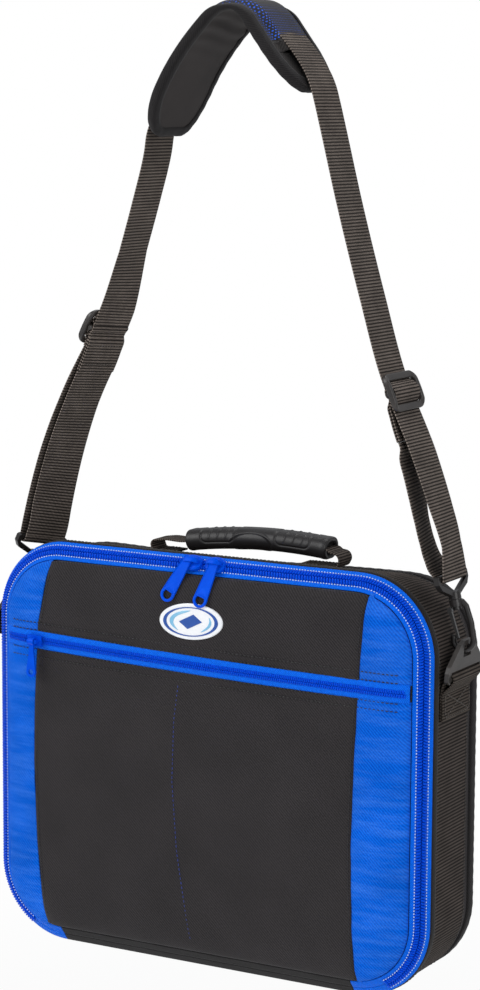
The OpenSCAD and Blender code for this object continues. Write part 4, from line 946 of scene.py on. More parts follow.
def slider_pieces(side, x):
    """The slider's body is a rounded plate with flanges turned down round the coil, and its bridge
    is a bowed bar over the middle."""
    a = np.linspace(0, 2 * np.pi, 65)[:-1]
    share = np.array([0.0, 0.35, 0.7, 0.9, 0.98, 1.0, 1.0, 0.97, 0.9])
    high = np.array([4.7, 4.65, 4.5, 4.2, 3.8, 3.2, 1.6, 0.9, 0.7])
    far = (np.abs(np.cos(a)) ** 2.6 + np.abs(np.sin(a)) ** 2.6) ** (-1 / 2.6)
    px = x + 7.9 * (far * np.cos(a))[:, None] * share[None, :]
    ps = BAR_S + 6.1 * (far * np.sin(a))[:, None] * share[None, :]
    points = on_slider(px, ps, high[None, :] + 0.0 * px)
    uv = grid(np.arange(65) * 0.6, np.arange(9) * 1.5)
    body = turned_out(surface(f"zip_slider_body_{side}", points, uv, enamel, closed_u=True))
    t = np.linspace(-1, 1, 41)
    line = np.stack([x + 6.2 * t, BAR_S + 0 * t, 4.2 + 4.6 * (1 - np.abs(t) ** 3.2) ** 0.6], -1)
    bridge = tube(f"zip_slider_bridge_{side}", line, 2.2, 0.85)
    fit(body, f"{side}_slider", "blue_enamel", f"zip_slider_{side}")
    fit(bridge, f"{side}_slider", "blue_enamel")


def puller_piece(side, x, lean, length=35.0, half=5.75):
    """The puller is a tapered plate, round at its lower end with a hole like a D. A rim stands
    round both edges: its height is h(d), d the distance to the nearer edge."""
    # its outline, from the left of the lower end round to its right, up and back down the left
    t = np.linspace(0, 1, 15)[1:-1]
    low = half - length
    arc = np.radians(np.linspace(180, 360, 40))
    side_z = low + t * (1.6 - low)
    side_x = 3.1 + (half - 3.1) * (1 - t) ** 0.85
    top = np.radians(np.linspace(0, 180, 15))
    outline = np.concatenate([np.stack([half * np.cos(arc), low + half * np.sin(arc)], -1),
                              np.stack([side_x, side_z], -1),
                              np.stack([3.1 * np.cos(top), 1.6 + 1.5 * np.sin(top)], -1),
                              np.stack([-side_x[::-1], side_z[::-1]], -1)])
    # the hole: half a circle with a flat top, its points spread to match the outline's
    r = half - 2.1
    q = np.linspace(1, -1, len(outline) - len(arc) + 2)[1:-1]
    hole = np.concatenate([np.stack([r * np.cos(arc), low + r * np.sin(arc)], -1),
                           np.stack([r * q * (1 - 0.08 * (np.abs(q) > 0.93)),
                                     low + 1.9 - 1.2 * np.abs(q) ** 14], -1)])
    span = np.linalg.norm(outline - hole, axis=1)[:, None]
    # steps from the outline to the hole: close together over both rims, even between them
    steps, reach = np.array([0, 0.02, 0.1, 0.22, 0.36]), np.array([0, 0.1, 0.45, 0.95, 1.35])
    part = np.concatenate([steps, np.linspace(0.36, 0.64, 6)[1:-1], 1 - steps[::-1]])
    between = 1.35 + (span - 2.7) * (part - 0.36) / 0.28
    d = np.where(part < 0.365, np.interp(part, steps, reach),
                 np.where(part > 0.635, span - np.interp(1 - part, steps, reach), between))
    d = np.where(span < 3.0, span * part, d)
    near = np.minimum(d, span - d)
    high = 0.85 * np.sqrt(np.clip(1 - (1 - np.clip(near / 0.45, 0, 1)) ** 2, 0, 1))
    high = high - 0.4 * np.clip((near - 0.95) / 0.4, 0, 1)
    flat = outline[:, None] + (hole - outline)[:, None] * (d / span)[..., None]
    flat = np.concatenate([flat, flat[:, -2:0:-1]], 1)
    high = np.concatenate([high, -high[:, -2:0:-1]], 1)
    # leaned sideways about y, then tilted off the face about x, and hung from the bar
    tilt = np.radians(14.5)
    px = flat[..., 0] * np.cos(lean) + flat[..., 1] * np.sin(lean)
    pz = -flat[..., 0] * np.sin(lean) + flat[..., 1] * np.cos(lean)
    points = np.stack([x + px, -bar_front - high * np.cos(tilt) + pz * np.sin(tilt),
                       RIM[1] + bar_offset + high * np.sin(tilt) + pz * np.cos(tilt)], -1)
    uv = grid(np.arange(len(flat) + 1) * 0.8, np.arange(flat.shape[1] + 1) * 0.4)
    piece = turned_out(surface(f"zip_puller_plate_{side}", points, uv, enamel, closed_u=True, closed_v=True))
    fit(piece, f"{side}_puller", "blue_enamel", f"zip_puller_{side}")


slider_pieces("left", -9.5)
slider_pieces("right", 9.5)
puller_piece("left", -11.2, np.radians(26))
puller_piece("right", 11.2, np.radians(16))


# ---- Snap hooks and rings ----
# The swivel hooks, their eyes and gates and the side rings keep their imported shapes. They are of
# injection-moulded black acetal: satin, with a fine spark-eroded grain and two near tones in soft clouds.
def acetal(name, dark, light, rough):
    """Black acetal of two near tones in soft clouds, with the mould's grain as relief."""
    made, tree, shader = finish_of(name, Roughness=rough, Specular_IOR_Level=0.5)
    at = add_node(tree, "ShaderNodeTexCoord").outputs["Object"]
    # the grain is about 0.4 mm across, drawn a little coarser than a real one
    grain = add_node(tree, "ShaderNodeTexNoise", {"Vector": at, "Scale": 2400.0, "Detail": 2.0})
    cloud = add_node(tree, "ShaderNodeTexNoise", {"Vector": at, "Scale": 80.0, "Detail": 2.0})
    dressed(tree, shader, cloud.outputs["Fac"], colour(dark), colour(light), grain.outputs["Fac"], 0.2,
            0.0002)
    return made


hook_acetal = acetal("black acetal of the hooks", "#141313", "#282524", 0.28)
ring_acetal = acetal("black acetal of the rings", "#1f1d1c", "#3e3936", 0.36)
for side in ("left", "right"):
    for node, finish in (("snap_hook", hook_acetal), ("hook_eye", hook_acetal), ("hook_gate", hook_acetal),
                         ("side_ring", ring_acetal)):
        refinish(f"{node}_{side}", finish, 0.5)


# ---- Shoulder strap ----
# Black nylon webbing, 38 mm wide with ribs across it, runs from hook to hook over the pad. Its
# two ends come back up inside and are sewn round the adjusters' bars.
def turned(v, x=0.0, y=0.0, z=0.0):
    """A vector turned about z, then x, then y, in degrees."""
    cx, cy, cz = np.cos(np.radians([x, y, z]))
    sx, sy, sz = np.sin(np.radians([x, y, z]))
    about_z = np.array([[cz, -sz, 0], [sz, cz, 0], [0, 0, 1]])
    about_x = np.array([[1, 0, 0], [0, cx, -sx], [0, sx, cx]])
    about_y = np.array([[cy, 0, sy], [0, 1, 0], [-sy, 0, cy]])
    return about_y @ about_x @ about_z @ np.asarray(v, float)


# Where the hooks, their eyes and the adjusters hang, and which ways they face
BACK = np.array([0.0, 1.0, 0.0])
ring_right = np.array([178.65 + 7.65, 0, 81.0])
ring_left = np.array([-178.65 - 12.85, 0, 81.0])
bow_right = ring_right + turned([0, 0, 17.4], y=5)
bow_left = ring_left + turned([0, 0, 17.4], y=8)
eye_right = bow_right + turned([0, 0, 53.0], y=-13.6)
eye_left = bow_left + turned([0, 0, 53.0], x=-3, y=25)
wide_eye_left = turned([np.sin(np.radians(20)), np.cos(np.radians(20)), 0], x=-3, y=25)
up_right = unit([-0.336, 0, 0.942])
out_right = np.cross(BACK, up_right)
out_left = unit(np.cross([0.27, 0.1, 0.96], wide_eye_left))
up_left = np.cross(wide_eye_left, out_left)
adj_left, adj_right = np.array([-105.0, 0, 308]), np.array([134.3, 0, 275])
up_adj_left, up_adj_right = turned([0, 0, 1], y=28.15), turned([0, 0, 1], y=-23.5)
wide_adj_left = turned([np.sin(np.radians(11)), np.cos(np.radians(11)), 0], y=28.15)
out_adj_left, out_adj_right = np.cross(up_adj_left, wide_adj_left), np.cross(BACK, up_adj_right)
STRAP_W, STRAP_T = 38.0, 1.6
WRAP = 2.2 + 0.4 + STRAP_T / 2     # webbing's middle line round a bar: the bar, a gap, half the webbing


def swung(turn):
    """The way across the strap, swung about the upright by turn degrees."""
    return np.array([np.sin(np.radians(turn)), np.cos(np.radians(turn)), 0.0])


# The strap hangs over an arch; lengths along it are measured on its middle radius
ARCH, MID = np.array([15.0, 518.0]), 19.7
ARC_L, ARC_R = MID * np.radians(56), MID * np.radians(53)
PAD_0, PAD_1 = -ARC_L - 95.0, ARC_R + 60.0


def on_pad(s, y, r):
    """A place on the pad: s along it from the top down to the right, y back, r from the arch's
    centre. Past the arch both limbs run on straight."""
    s, y, r = np.broadcast_arrays(np.asarray(s, float), y, r)
    # the left limb bows outwards: 8 sin(pi q), q its share from the top to the tip
    r = r + 8.0 * np.sin(np.pi * np.clip((-4.0 - s) / (-4.0 - PAD_0), 0, 1)) ** 0.9
    c = np.clip(s, -ARC_L, ARC_R)
    a = np.pi / 2 - c / MID
    return np.stack([ARCH[0] + r * np.cos(a) + (s - c) * np.sin(a), y,
                     ARCH[1] + r * np.sin(a) - (s - c) * np.cos(a)], -1)


def wrapped(c, up, out, wide, a0, a1, n=9):
    """Stations round a bar: its middle c plus WRAP (cos a, sin a), from a0 to a1 degrees."""
    a = np.radians(np.linspace(a0, a1, n))
    return [(c + WRAP * (np.cos(t) * out + np.sin(t) * up), wide) for t in a]


def ribbon(name, stations, width, thick, finish, rib=2.3, rib_high=0.16):
    """Webbing through stations of a place and a way across. The line is rounded between its
    stations, ribs stand on both faces and the two selvedges are rolled."""
    place, wide = (np.array([q[k] for q in stations], float) for k in (0, 1))
    s = np.concatenate([[0], np.cumsum(np.linalg.norm(np.diff(place, axis=0), axis=1))])
    n = int(s[-1] / rib * 5)
    t = np.linspace(0, s[-1], n)
    slope = np.gradient(place, s, axis=0)
    k = np.clip(np.searchsorted(s, t, side="right") - 1, 0, len(s) - 2)
    h = (s[k + 1] - s[k])[:, None]
    q = ((t - s[k]) / h[:, 0])[:, None]
    # a cubic through the stations that keeps their slopes
    line = ((1 + 2 * q) * (1 - q) ** 2 * place[k] + q * (1 - q) ** 2 * h * slope[k]
            + q ** 2 * (3 - 2 * q) * place[k + 1] + q ** 2 * (q - 1) * h * slope[k + 1])
    across = unit(wide[k] + (wide[k + 1] - wide[k]) * q)
    out = unit(np.cross(across, np.gradient(line, axis=0)))
    edge = np.array([-0.5, -0.492, -0.46, -0.3, -0.1, 0.1, 0.3, 0.46, 0.492, 0.5])
    body = np.array([0.35, 0.8, 1, 1, 1, 1, 1, 1, 0.8, 0.35])
    wave = rib_high * np.cos(t * 2 * np.pi / rib)[:, None] * (np.abs(edge) < 0.47)[None, :]
    high = (thick / 2 - rib_high) * body[None, :] + wave
    middle = line[:, None] + width * edge[None, :, None] * across[:, None]
    off = high[..., None] * out[:, None]
    points = np.concatenate([middle + off, (middle - off)[:, ::-1]], 1)
    v = np.concatenate([edge * width, edge[::-1] * width, edge[:1] * width])
    return turned_out(surface(name, points, grid(t, v), finish, closed_v=True, caps=True))


# the first colour is the grooves' painted shade and the last the crests' painted highlight
strap_webbing = ribbed("ribbed nylon webbing of the strap", "#0f0d0c", "#2b2724", "#958980", 2.3)
pad_line = np.concatenate([[PAD_1 + 1.5], np.linspace(ARC_R, -ARC_L, 13),
                           np.linspace(-ARC_L - 11, PAD_0 + 9, 7), [PAD_0 - 1.5]])
# over the arch: the pad's radius, its underside, foam and cover with their gaps, and the webbing
STRAP_R = 16.2 + 1 + 0.05 + 5.1 + 0.05 + 1.2 + 1.8
stations = [(eye_right - WRAP * out_right + 2 * up_right, BACK)]
stations += wrapped(eye_right, up_right, out_right, BACK, -180, 0)
stations += [(np.array([x, 0, z]), swung(turn)) for x, z, turn in [
    (175.6, 172, -6), (166.2, 200, -2), (153.6, 233, 0), (127.8, 290, 0), (112.8, 338, 0),
    (92.8, 407, 0), (79.8, 457, 0), (75, 475, 0)]]
stations += [(on_pad(s, 0, STRAP_R), BACK) for s in pad_line]
stations += [(np.array([x, 0, z]), BACK) for x, z in [(-62.5, 438), (-72.2, 403), (-83.7, 366)]]
stations += [(adj_left - q * up_adj_left, wide_adj_left) for q in (-15.9, 52.2)]
stations += [(np.array([-134.8, 0.6, 252]), wide_adj_left),
             (np.array([-150, 1.6, 215]), unit(wide_adj_left + wide_eye_left)),
             (np.array([-162, 2.4, 175]), wide_eye_left)]
stations += wrapped(eye_left, up_left, out_left, wide_eye_left, 0, -180)
stations += [(eye_left - WRAP * out_left + 2 * up_left, wide_eye_left)]
piece = ribbon("strap_main_webbing", stations, STRAP_W, STRAP_T, strap_webbing)
fit(piece, "strap", "webbing", "strap_webbing")

# Under the strap each end comes back up from its hook to the adjuster's sewn loop. It shortens
# towards the hook while the adjuster slides
BAR_IN, TAIL = 5.0, 33.3     # from the adjuster's middle inwards, and down to the loop's end
stations = [(adj_left - (TAIL + q) * up_adj_left - BAR_IN * out_adj_left, wide_adj_left) for q in (0, 8)]
stations += [(np.array([-129.8, 0.6, 251]), wide_adj_left),
             (np.array([-144.6, 1.6, 214]), unit(wide_adj_left + wide_eye_left)),
             (np.array([-156.3, 2.4, 175]), wide_eye_left)]
stations += [(eye_left - WRAP * out_left + q * up_left, wide_eye_left) for q in (8, 2.05)]
piece = ribbon("strap_inner_webbing_left", stations, STRAP_W, STRAP_T, strap_webbing)
fit(piece, "strap", "webbing", "strap_return_left")
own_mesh(piece)
stations = [(adj_right - (TAIL + q) * up_adj_right - BAR_IN * out_adj_right, BACK) for q in (0, 3)]
stations += [(np.array([x, 0, z]), swung(turn)) for x, z, turn in [
    (143.6, 231, -2), (146.4, 218.5, -4), (149.3, 202.5, -9), (152.6, 187, -12), (156.8, 172.5, -12),
    (161.4, 161, -10)]]
stations += [(np.array([166.6, 0, 153.8]), swung(-5)),
             (eye_right - WRAP * out_right + 2.05 * up_right, BACK)]
piece = ribbon("strap_inner_webbing_right", stations, STRAP_W, STRAP_T, strap_webbing)
fit(piece, "strap", "webbing", "strap_return_right")
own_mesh(piece)


# ---- Adjusters ----
# A frame of black acetal on the outer face of the strap, with a round bar across its middle. Each
# end of the webbing goes round its bar and is sewn to itself, and the strap humps over both.
BAR_OUT = 1.5     # the bar's middle, outwards from the strap's


def adjuster_pieces(side, at, up, out, wide):
    """The frame's section, a rounded box of (out, across), is carried round a rounded rectangle of
    (across, up) with the corners' radius r. Its own axes are x outwards, y across and z up."""
    frame_of = lambda q: at + q[..., 0:1] * out + q[..., 1:2] * wide + q[..., 2:3] * up
    hw, hl, r = 21.3, 11.3, 4.4
    arcs = []
    for cy, cz, start in ((1, 1, 0), (-1, 1, 90), (-1, -1, 180), (1, -1, 270)):
        a = np.radians(np.linspace(start, start + 90, 9))
        arcs.append(np.stack([cy * (hw - r) + r * np.cos(a), cz * (hl - r) + r * np.sin(a),
                              np.cos(a), np.sin(a)], -1))
    step = np.linspace(0, 1, 10)[1:-1, None]
    line = np.concatenate([q for arc, after in zip(arcs, arcs[1:] + arcs[:1])
                           for q in (arc, arc[-1] * (1 - step) + after[0] * step)])
    rail = np.abs(line[:, 2]) ** 2
    # the rails bow out over the middle, and their section is deeper than the crossbars'
    mid = 2.9 + rail * (0.5 + 0.7 * np.clip(1 - (line[:, 1] / hl) ** 2, 0, 1))
    deep, flat = 1.35 + 0.75 * rail, 2.5 - 0.5 * rail
    a = np.linspace(0, 2 * np.pi, 25)[:-1]
    ca, sa = (np.sign(f) * np.abs(f) ** 0.55 for f in (np.cos(a), np.sin(a)))
    q = np.stack([mid[:, None] + deep[:, None] * sa[None, :],
                  line[:, 0:1] + flat[:, None] * ca[None, :] * line[:, 2:3],
                  line[:, 1:2] + flat[:, None] * ca[None, :] * line[:, 3:4]], -1)
    uv = grid(np.arange(len(line) + 1) * 1.5, np.arange(25) * 0.6)
    ring = surface(f"adjuster_frame_{side}", frame_of(q), uv, ring_acetal, closed_u=True, closed_v=True)
    fit(turned_out(ring), f"{side}_adjuster", "black_plastic", f"adjuster_{side}")
    y = np.linspace(-21.0, 21.0, 12)
    q = np.stack(np.broadcast_arrays(BAR_OUT + 2.2 * np.cos(a), y[:, None], 2.2 * np.sin(a)), -1)
    bar = surface(f"adjuster_bar_{side}", frame_of(q), grid(y, np.arange(25) * 0.4), ring_acetal,
                  closed_v=True, caps=True)
    fit(turned_out(bar), f"{side}_adjuster", "black_plastic")


for side, at, up, out, wide in (("left", adj_left, up_adj_left, out_adj_left, wide_adj_left),
                                ("right", adj_right, up_adj_right, out_adj_right, BACK)):
    adjuster_pieces(side, at, up, out, wide)
    place = lambda x, z: at + x * out + z * up
    low = [(33, -5.0), (24, -4.5), (15, -3.6), (9, -2.9)]
    a = np.radians(np.linspace(-50, 230, 17))
    stations = [(place(x + 0.85, -z), wide) for z, x in low]
    # round the bar, and drawn out by 0.7 of its height on the upper side
    stations += [(place(BAR_OUT + 3.1 * np.cos(t), 3.1 * np.sin(t) * (1 + 0.7 * (t > 0) * (t < np.pi))), wide)
                 for t in a]
    stations += [(place(x - 0.85, -z), wide) for z, x in low[::-1]]
    piece = ribbon(f"sewn_loop_webbing_{side}", stations, STRAP_W, 1.5, strap_webbing)
    fit(piece, f"{side}_adjuster", "webbing", f"sewn_loop_{side}")
    rows = []
    for face in (1, -1):
        for z, x in ((12.0, -3.15), (27.0, -4.65)):
            y = np.linspace(-16.5, 16.5, 60)[:, None]
            rows.append(stitched(place(x + face * 1.55, -z) + y * wide, face * out, 3.0))
    rows_of_stitches(f"sewn_loop_stitches_{side}", *[np.concatenate(r) for r in zip(*rows)], 0.35,
                     brown_thread, f"{side}_adjuster", "webbing")
    hump = [(0.15, -14.2), (0.15, -11.4), (1.7, -7.9), (5.0, -4.0), (6.3, 0), (5.0, 4.0), (1.7, 7.9),
            (0.15, 11.4), (0.15, 14.2)]
    piece = ribbon(f"strap_hump_webbing_{side}", [(place(x, z), wide) for x, z in hump], STRAP_W - 0.4,
                   STRAP_T, strap_webbing)
    fit(piece, f"{side}_adjuster", "webbing")


# ---- Shoulder pad ----
# Foam between a smooth neoprene underside and a cover of black spacer mesh over blue, with plain
# patches at its ends where the webbing comes out. Its edge is bound all round.
# Half the pad's width, half that of its blunt ends, and the length of the taper between
PAD_W, END_W, END_L = 37.0, 13.0, 36.0


def half_width(s):
    """Half the pad's width: constant, then a quarter of an ellipse at each blunt end."""
    near = np.clip(np.minimum(s - PAD_0, PAD_1 - s), 0, END_L)
    return END_W + (PAD_W - END_W) * np.sqrt(np.clip(1 - ((END_L - near) / END_L) ** 2, 0, 1))


def pad_sheet(name, s, t, height, finish):
    """A sheet over the pad, 1.6 mm inside its edge: s along it, t from -1 to 1 across it, and
    height gives r at (s, y). Its faces turn away from a place inside the arch."""
    y = (half_width(s) - 1.6)[:, None] * t
    s = np.broadcast_to(s[:, None], y.shape)
    return surface(name, on_pad(s, y, height(s, y)), np.stack([s, y], -1), finish, (15, 0, 480))


def soft_steps(a, b, n):
    """Steps from a to b that close up towards both ends."""
    return a + (b - a) * (1 - np.cos(np.linspace(0, np.pi, n))) / 2


smooth_cloth, tree, shader = finish_of("black neoprene with a brushed face", Roughness=0.75,
                                       Sheen_Weight=0.04, Specular_IOR_Level=0.25)
at = add_node(tree, "ShaderNodeTexCoord").outputs["UV"]
fine = add_node(tree, "ShaderNodeTexNoise", {"Vector": at, "Scale": 1.6, "Detail": 3.0})
broad = add_node(tree, "ShaderNodeTexNoise", {"Vector": at, "Scale": 0.04, "Detail": 2.0})
share = add_node(tree, "ShaderNodeMix", {0: 0.5, 2: fine.outputs["Fac"], 3: broad.outputs["Fac"]},
                 data_type="FLOAT")
dressed(tree, shader, share.outputs[0], colour("#1c1918"), colour("#3a3534"), fine.outputs["Fac"], 0.3,
        0.0003)


def pinch(s):
    """Where the arch is sharpest the pad is pressed thin from inside: 3.6 exp(-(s / 11)^2)."""
    return 3.6 * np.exp(-(s / 11.0) ** 2)


def under_height(s, y):
    """The underside bulges towards the arch's inside by 0.6 mm, and gathers where it bends."""
    edge = np.clip(1 - (y / (half_width(s) - 1.4)) ** 2, 0, 1)
    bend = np.exp(-((s + 22.0) / 20.0) ** 2)
    gather = 0.95 * bend * np.sin(s / 1.9 + 1.6 * np.sin(y / 14.0)) + 0.25 * np.sin(s / 9.0 + y / 15.0)
    return 16.8 - 0.5 * edge + gather * np.sqrt(edge) + pinch(s)


piece = pad_sheet("pad_neoprene", soft_steps(PAD_0 + 1.6, PAD_1 - 1.6, 160), np.linspace(-1, 1, 31),
                  under_height, smooth_cloth)
piece.data.flip_normals()
fit(piece, "strap", "pad_smooth", "pad_underside")

# Spacer mesh: a black honeycomb knit over blue, with a hole to about every 2.3 mm
mesh_cloth, tree, shader = finish_of("black spacer mesh over blue", Roughness=0.7, Sheen_Weight=0.05,
                                     Specular_IOR_Level=0.3)
at = add_node(tree, "ShaderNodeTexCoord").outputs["UV"]
waves = []
for turn in (0.0, 60.0, 120.0):
    way = add_node(tree, "ShaderNodeMapping", {"Vector": at, "Rotation": (0, 0, float(np.radians(turn)))})
    # a quarter of a period's shift of one set turns the crossings into a lattice of dots
    waves.append(add_node(tree, "ShaderNodeTexWave", {"Vector": way.outputs[0], "Scale": WAVE / 2.0,
                                                      "Phase Offset": 1.571 if turn == 60.0 else 0.0},
                          bands_direction="X").outputs["Fac"])
two = add_node(tree, "ShaderNodeMath", {0: waves[0], 1: waves[1]}, operation="ADD")
three = add_node(tree, "ShaderNodeMath", {0: two.outputs[0], 1: waves[2]}, operation="ADD")
hole = add_node(tree, "ShaderNodeMapRange", {"Value": three.outputs[0], "From Min": 1.75, "From Max": 2.3})
broad = add_node(tree, "ShaderNodeTexNoise", {"Vector": at, "Scale": 0.035, "Detail": 1.0})
showing = add_node(tree, "ShaderNodeMapRange", {"Value": broad.outputs["Fac"], "From Min": 0.35,
                                                "From Max": 0.65, "To Min": 0.35, "To Max": 1.0})
# seen aslant, the knit hides the blue under its holes
slant = add_node(tree, "ShaderNodeLayerWeight", {"Blend": 0.5})
square = add_node(tree, "ShaderNodeMapRange", {"Value": slant.outputs["Facing"], "From Min": 0.35,
                                               "From Max": 0.8, "To Min": 1.0, "To Max": 0.0})
open_part = add_node(tree, "ShaderNodeMath", {0: hole.outputs[0], 1: square.outputs[0]}, operation="MULTIPLY")
seen = add_node(tree, "ShaderNodeMath", {0: open_part.outputs[0], 1: showing.outputs[0]},
                operation="MULTIPLY")
dressed(tree, shader, seen.outputs[0], colour("#1b1a1e"), colour("#2468ee"))
relief = add_node(tree, "ShaderNodeBump", {"Height": hole.outputs[0], "Strength": 0.7, "Distance": 0.0006},
                  invert=True)
tree.links.new(relief.outputs[0], shader.inputs["Normal"])

MOUTH_L, MOUTH_R = PAD_0 + 42.0, PAD_1 - 30.0     # where the webbing goes in under the cover


def cover_height(s, y, over):
    """The cover's outer face: crowned foam, drawn down at the bound edge, raised over the webbing."""
    edge = np.clip(1 - (y / (half_width(s) - 1.4)) ** 4, 0, 1)
    side = np.clip((np.abs(y) - 19.4) / 4.2, 0, 1)
    hump = 3.9 * (1 - side ** 2 * (3 - 2 * side))
    bend = np.exp(-(s / 30.0) ** 2)
    dimple = 0.25 * np.sin(s / 7.0 + y / 8.0) + 0.35 * bend * np.sin(s / 3.1 + 0.8 * np.sin(y / 7.0))
    return 23.2 + 0.55 * edge + over * hump + dimple * edge * np.where(np.abs(y) > 19, 1.0, 0.4)


t = np.concatenate([np.linspace(-1, -0.64, 9), np.linspace(-0.6, 0.6, 15), np.linspace(0.64, 1, 9)])
piece = pad_sheet("pad_mesh_cover", np.linspace(MOUTH_L + 9.6, MOUTH_R - 9.6, 150), t,
                  lambda s, y: cover_height(s, y, 1.0), mesh_cloth)
fit(wall(piece, 1.1), "strap", "pad_mesh", "pad_cover", "pad_foam")

end_cloth = woven("black nylon end patches", "#161414", "#2d2928", 1.2, 0.06)
for side, mouth, tip, way in (("left", MOUTH_L, PAD_0 + 1.6, 1.0), ("right", MOUTH_R, PAD_1 - 1.6, -1.0)):
    piece = pad_sheet(f"pad_patch_{side}", soft_steps(tip, mouth, 44), t,
                      lambda s, y: cover_height(s, y, 0.0), end_cloth)
    fit(wall(piece, 1.1), "strap", "binding")
    piece = pad_sheet(f"pad_mouth_{side}", np.linspace(mouth, mouth + way * 9.5, 14), t,
                      lambda s, y: cover_height(s, y, 1.0) + 0.25, end_cloth)
    fit(wall(piece, 1.2), "strap", "binding", f"pad_end_{side}")
    y = np.linspace(-34.5, 34.5, 120)
    y = y[(np.abs(y) < 19) | (np.abs(y) > 24)]
    s = np.full_like(y, mouth + way * 8.0)
    path = on_pad(s, y, cover_height(s, y, 1.0) + 0.3)
    ways = on_pad(s, y, cover_height(s, y, 1.0) + 1.3) - path
    rows_of_stitches(f"pad_mouth_stitches_{side}", *stitched(path, ways, 3.0), 0.28, black_thread, "strap",
                     "binding")

# The binding: one strip of tape folded round the pad's edge, all the way round
outline_s = np.concatenate([soft_steps(PAD_0, PAD_0 + 30, 26), np.linspace(PAD_0 + 30, PAD_1 - 30, 190)[1:-1],
                            soft_steps(PAD_1 - 30, PAD_1, 26)])
outline_y, end_y = half_width(outline_s), np.linspace(END_W, -END_W, 13)[1:-1]
loop_s = np.concatenate([outline_s, np.full(11, PAD_1), outline_s[::-1], np.full(11, PAD_0), outline_s[:1]])
loop_y = np.concatenate([outline_y, end_y, -outline_y[::-1], -end_y, outline_y[:1]])
length = np.concatenate([[0], np.cumsum(np.hypot(np.diff(loop_s), np.diff(loop_y)))])
even = np.linspace(0, length[-1], 700)[:-1]
loop_s, loop_y = np.interp(even, length, loop_s), np.interp(even, length, loop_y)
# which way is inwards, from the steps to both neighbours
ds = np.gradient(np.concatenate([loop_s[-3:], loop_s, loop_s[:3]]))[3:-3]
dy = np.gradient(np.concatenate([loop_y[-3:], loop_y, loop_y[:3]]))[3:-3]
size = np.hypot(ds, dy)
in_s, in_y = dy / size, -ds / size
# the fold's section: how far in from the edge, and its r
fold = np.array([(7.4, 16.9), (7.4, 16.1), (5.5, 15.9), (2.4, 16.1), (0.8, 16.7), (0.1, 17.8),
                 (-0.1, 19.8), (0.1, 21.6), (0.8, 23.0), (2.4, 23.7), (5.5, 24.3), (7.4, 24.3), (7.4, 23.6)])
pull = 0.12 * np.sin(even[:, None] / 1.7 + fold[None, :, 1])
s = loop_s[:, None] + in_s[:, None] * (fold[None, :, 0] + pull)
y = loop_y[:, None] + in_y[:, None] * (fold[None, :, 0] + pull)
points = on_pad(s, y, fold[:, 1] + 0.5 * pull + pinch(s) * np.clip((23.0 - fold[:, 1]) / 6.0, 0, 1))
v = np.concatenate([[0], np.cumsum(np.hypot(*np.diff(fold, axis=0).T))])
piece = surface("pad_binding_tape", points, grid(np.append(even, length[-1]), v), binding_tape, closed_u=True)
fit(piece, "strap", "binding", "pad_binding")


# ---- Side loops ----
# A piece of the same webbing, 45 mm wide, is folded over each ring's bar. Its two layers are sewn
# to the gusset's band with a box of stitches.
# the first colour is the grooves' painted shade and the last the crests' painted highlight
loop_webbing = ribbed("ribbed nylon webbing of the side loops", "#0f0d0c", "#2b2724", "#6e645c", 2.1)
for side, ring_at, mirror in (("right", ring_right, 1.0), ("left", ring_left, -1.0)):
    bar = np.array([abs(ring_at[0]), 0.0, 81.0])
    a = np.radians(np.linspace(-38, 205, 15))
    path = [(181.15, 50.0), (181.2, 60.0), (181.3, 70.0)]
    path += [(bar[0] + 0.2, 75.6)] if bar[0] < 189 else [(184.2, 74.0), (bar[0] + 0.6, 75.8)]
    path += [(bar[0] + 3.4 * np.cos(t), 81.0 + 3.4 * np.sin(t)) for t in a]
    path += [(bar[0] - 4.6, 77.2), (180.6, 72.8), (179.75, 68.0), (179.6, 60.0), (179.55, 50.0)]
    stations = [(np.array([mirror * x, 0.0, z]), BACK) for x, z in path]
    piece = ribbon(f"side_loop_webbing_{side}", stations, 45.0, 1.55, loop_webbing, 2.1)
    fit(piece, "case", "webbing", f"ring_loop_{side}")
    corners = [(-19.5, 52.5), (19.5, 52.5), (19.5, 70.5), (-19.5, 70.5), (-19.5, 52.5), (19.5, 70.5)]
    rows = []
    for (y0, z0), (y1, z1) in list(zip(corners, corners[1:])) + [((19.5, 52.5), (-19.5, 70.5))]:
        q = np.linspace(0, 1, 40)[:, None]
        path = np.hstack([mirror * (181.98 + 0 * q), y0 + (y1 - y0) * q, z0 + (z1 - z0) * q])
        rows.append(stitched(path, (mirror, 0.0, 0.0), 3.0))
    rows_of_stitches(f"side_loop_stitches_{side}", *[np.concatenate(r) for r in zip(*rows)], 0.36,
                     brown_thread, "case", "webbing")


# ---- Carrying handle ----
# A strip of webbing runs through a moulded grip. Each end is folded back over a tab of the same
# webbing, which is sewn to the top of the case.
TAB_Z, GRIP_X, GRIP_LEN, GRIP_H, GRIP_D, BOW = 146.2, 19.0, 116.0, 15.5, 22.0, 4.0
HANDLE_Y, HANDLE_W, HANDLE_T = 10.0, 20.0, 1.55     # the webbing's place back, its width and thickness
# each tab's fold: its place across, inner radius, way outwards, and the tab's length
FOLDS = ((-65.0, 2.6, -1.0, 16.5), (83.0, 4.0, 1.0, 28.0))
GRIP_Z = TAB_Z + 1.6 + GRIP_H / 2 + 5.2
arc_radius = (GRIP_LEN ** 2 / 4 + BOW ** 2) / (2 * BOW)
tilt = np.radians(1.7)


def on_grip(u, v, w):
    """A place in the grip: u along its arc, v up and w back from its middle line."""
    lean = u / arc_radius
    along, rise = (arc_radius + v) * np.sin(lean), (arc_radius + v) * np.cos(lean) - arc_radius
    return np.stack(np.broadcast_arrays(GRIP_X + along * np.cos(tilt) - rise * np.sin(tilt), HANDLE_Y + w,
                                        GRIP_Z + along * np.sin(tilt) + rise * np.cos(tilt)), -1)


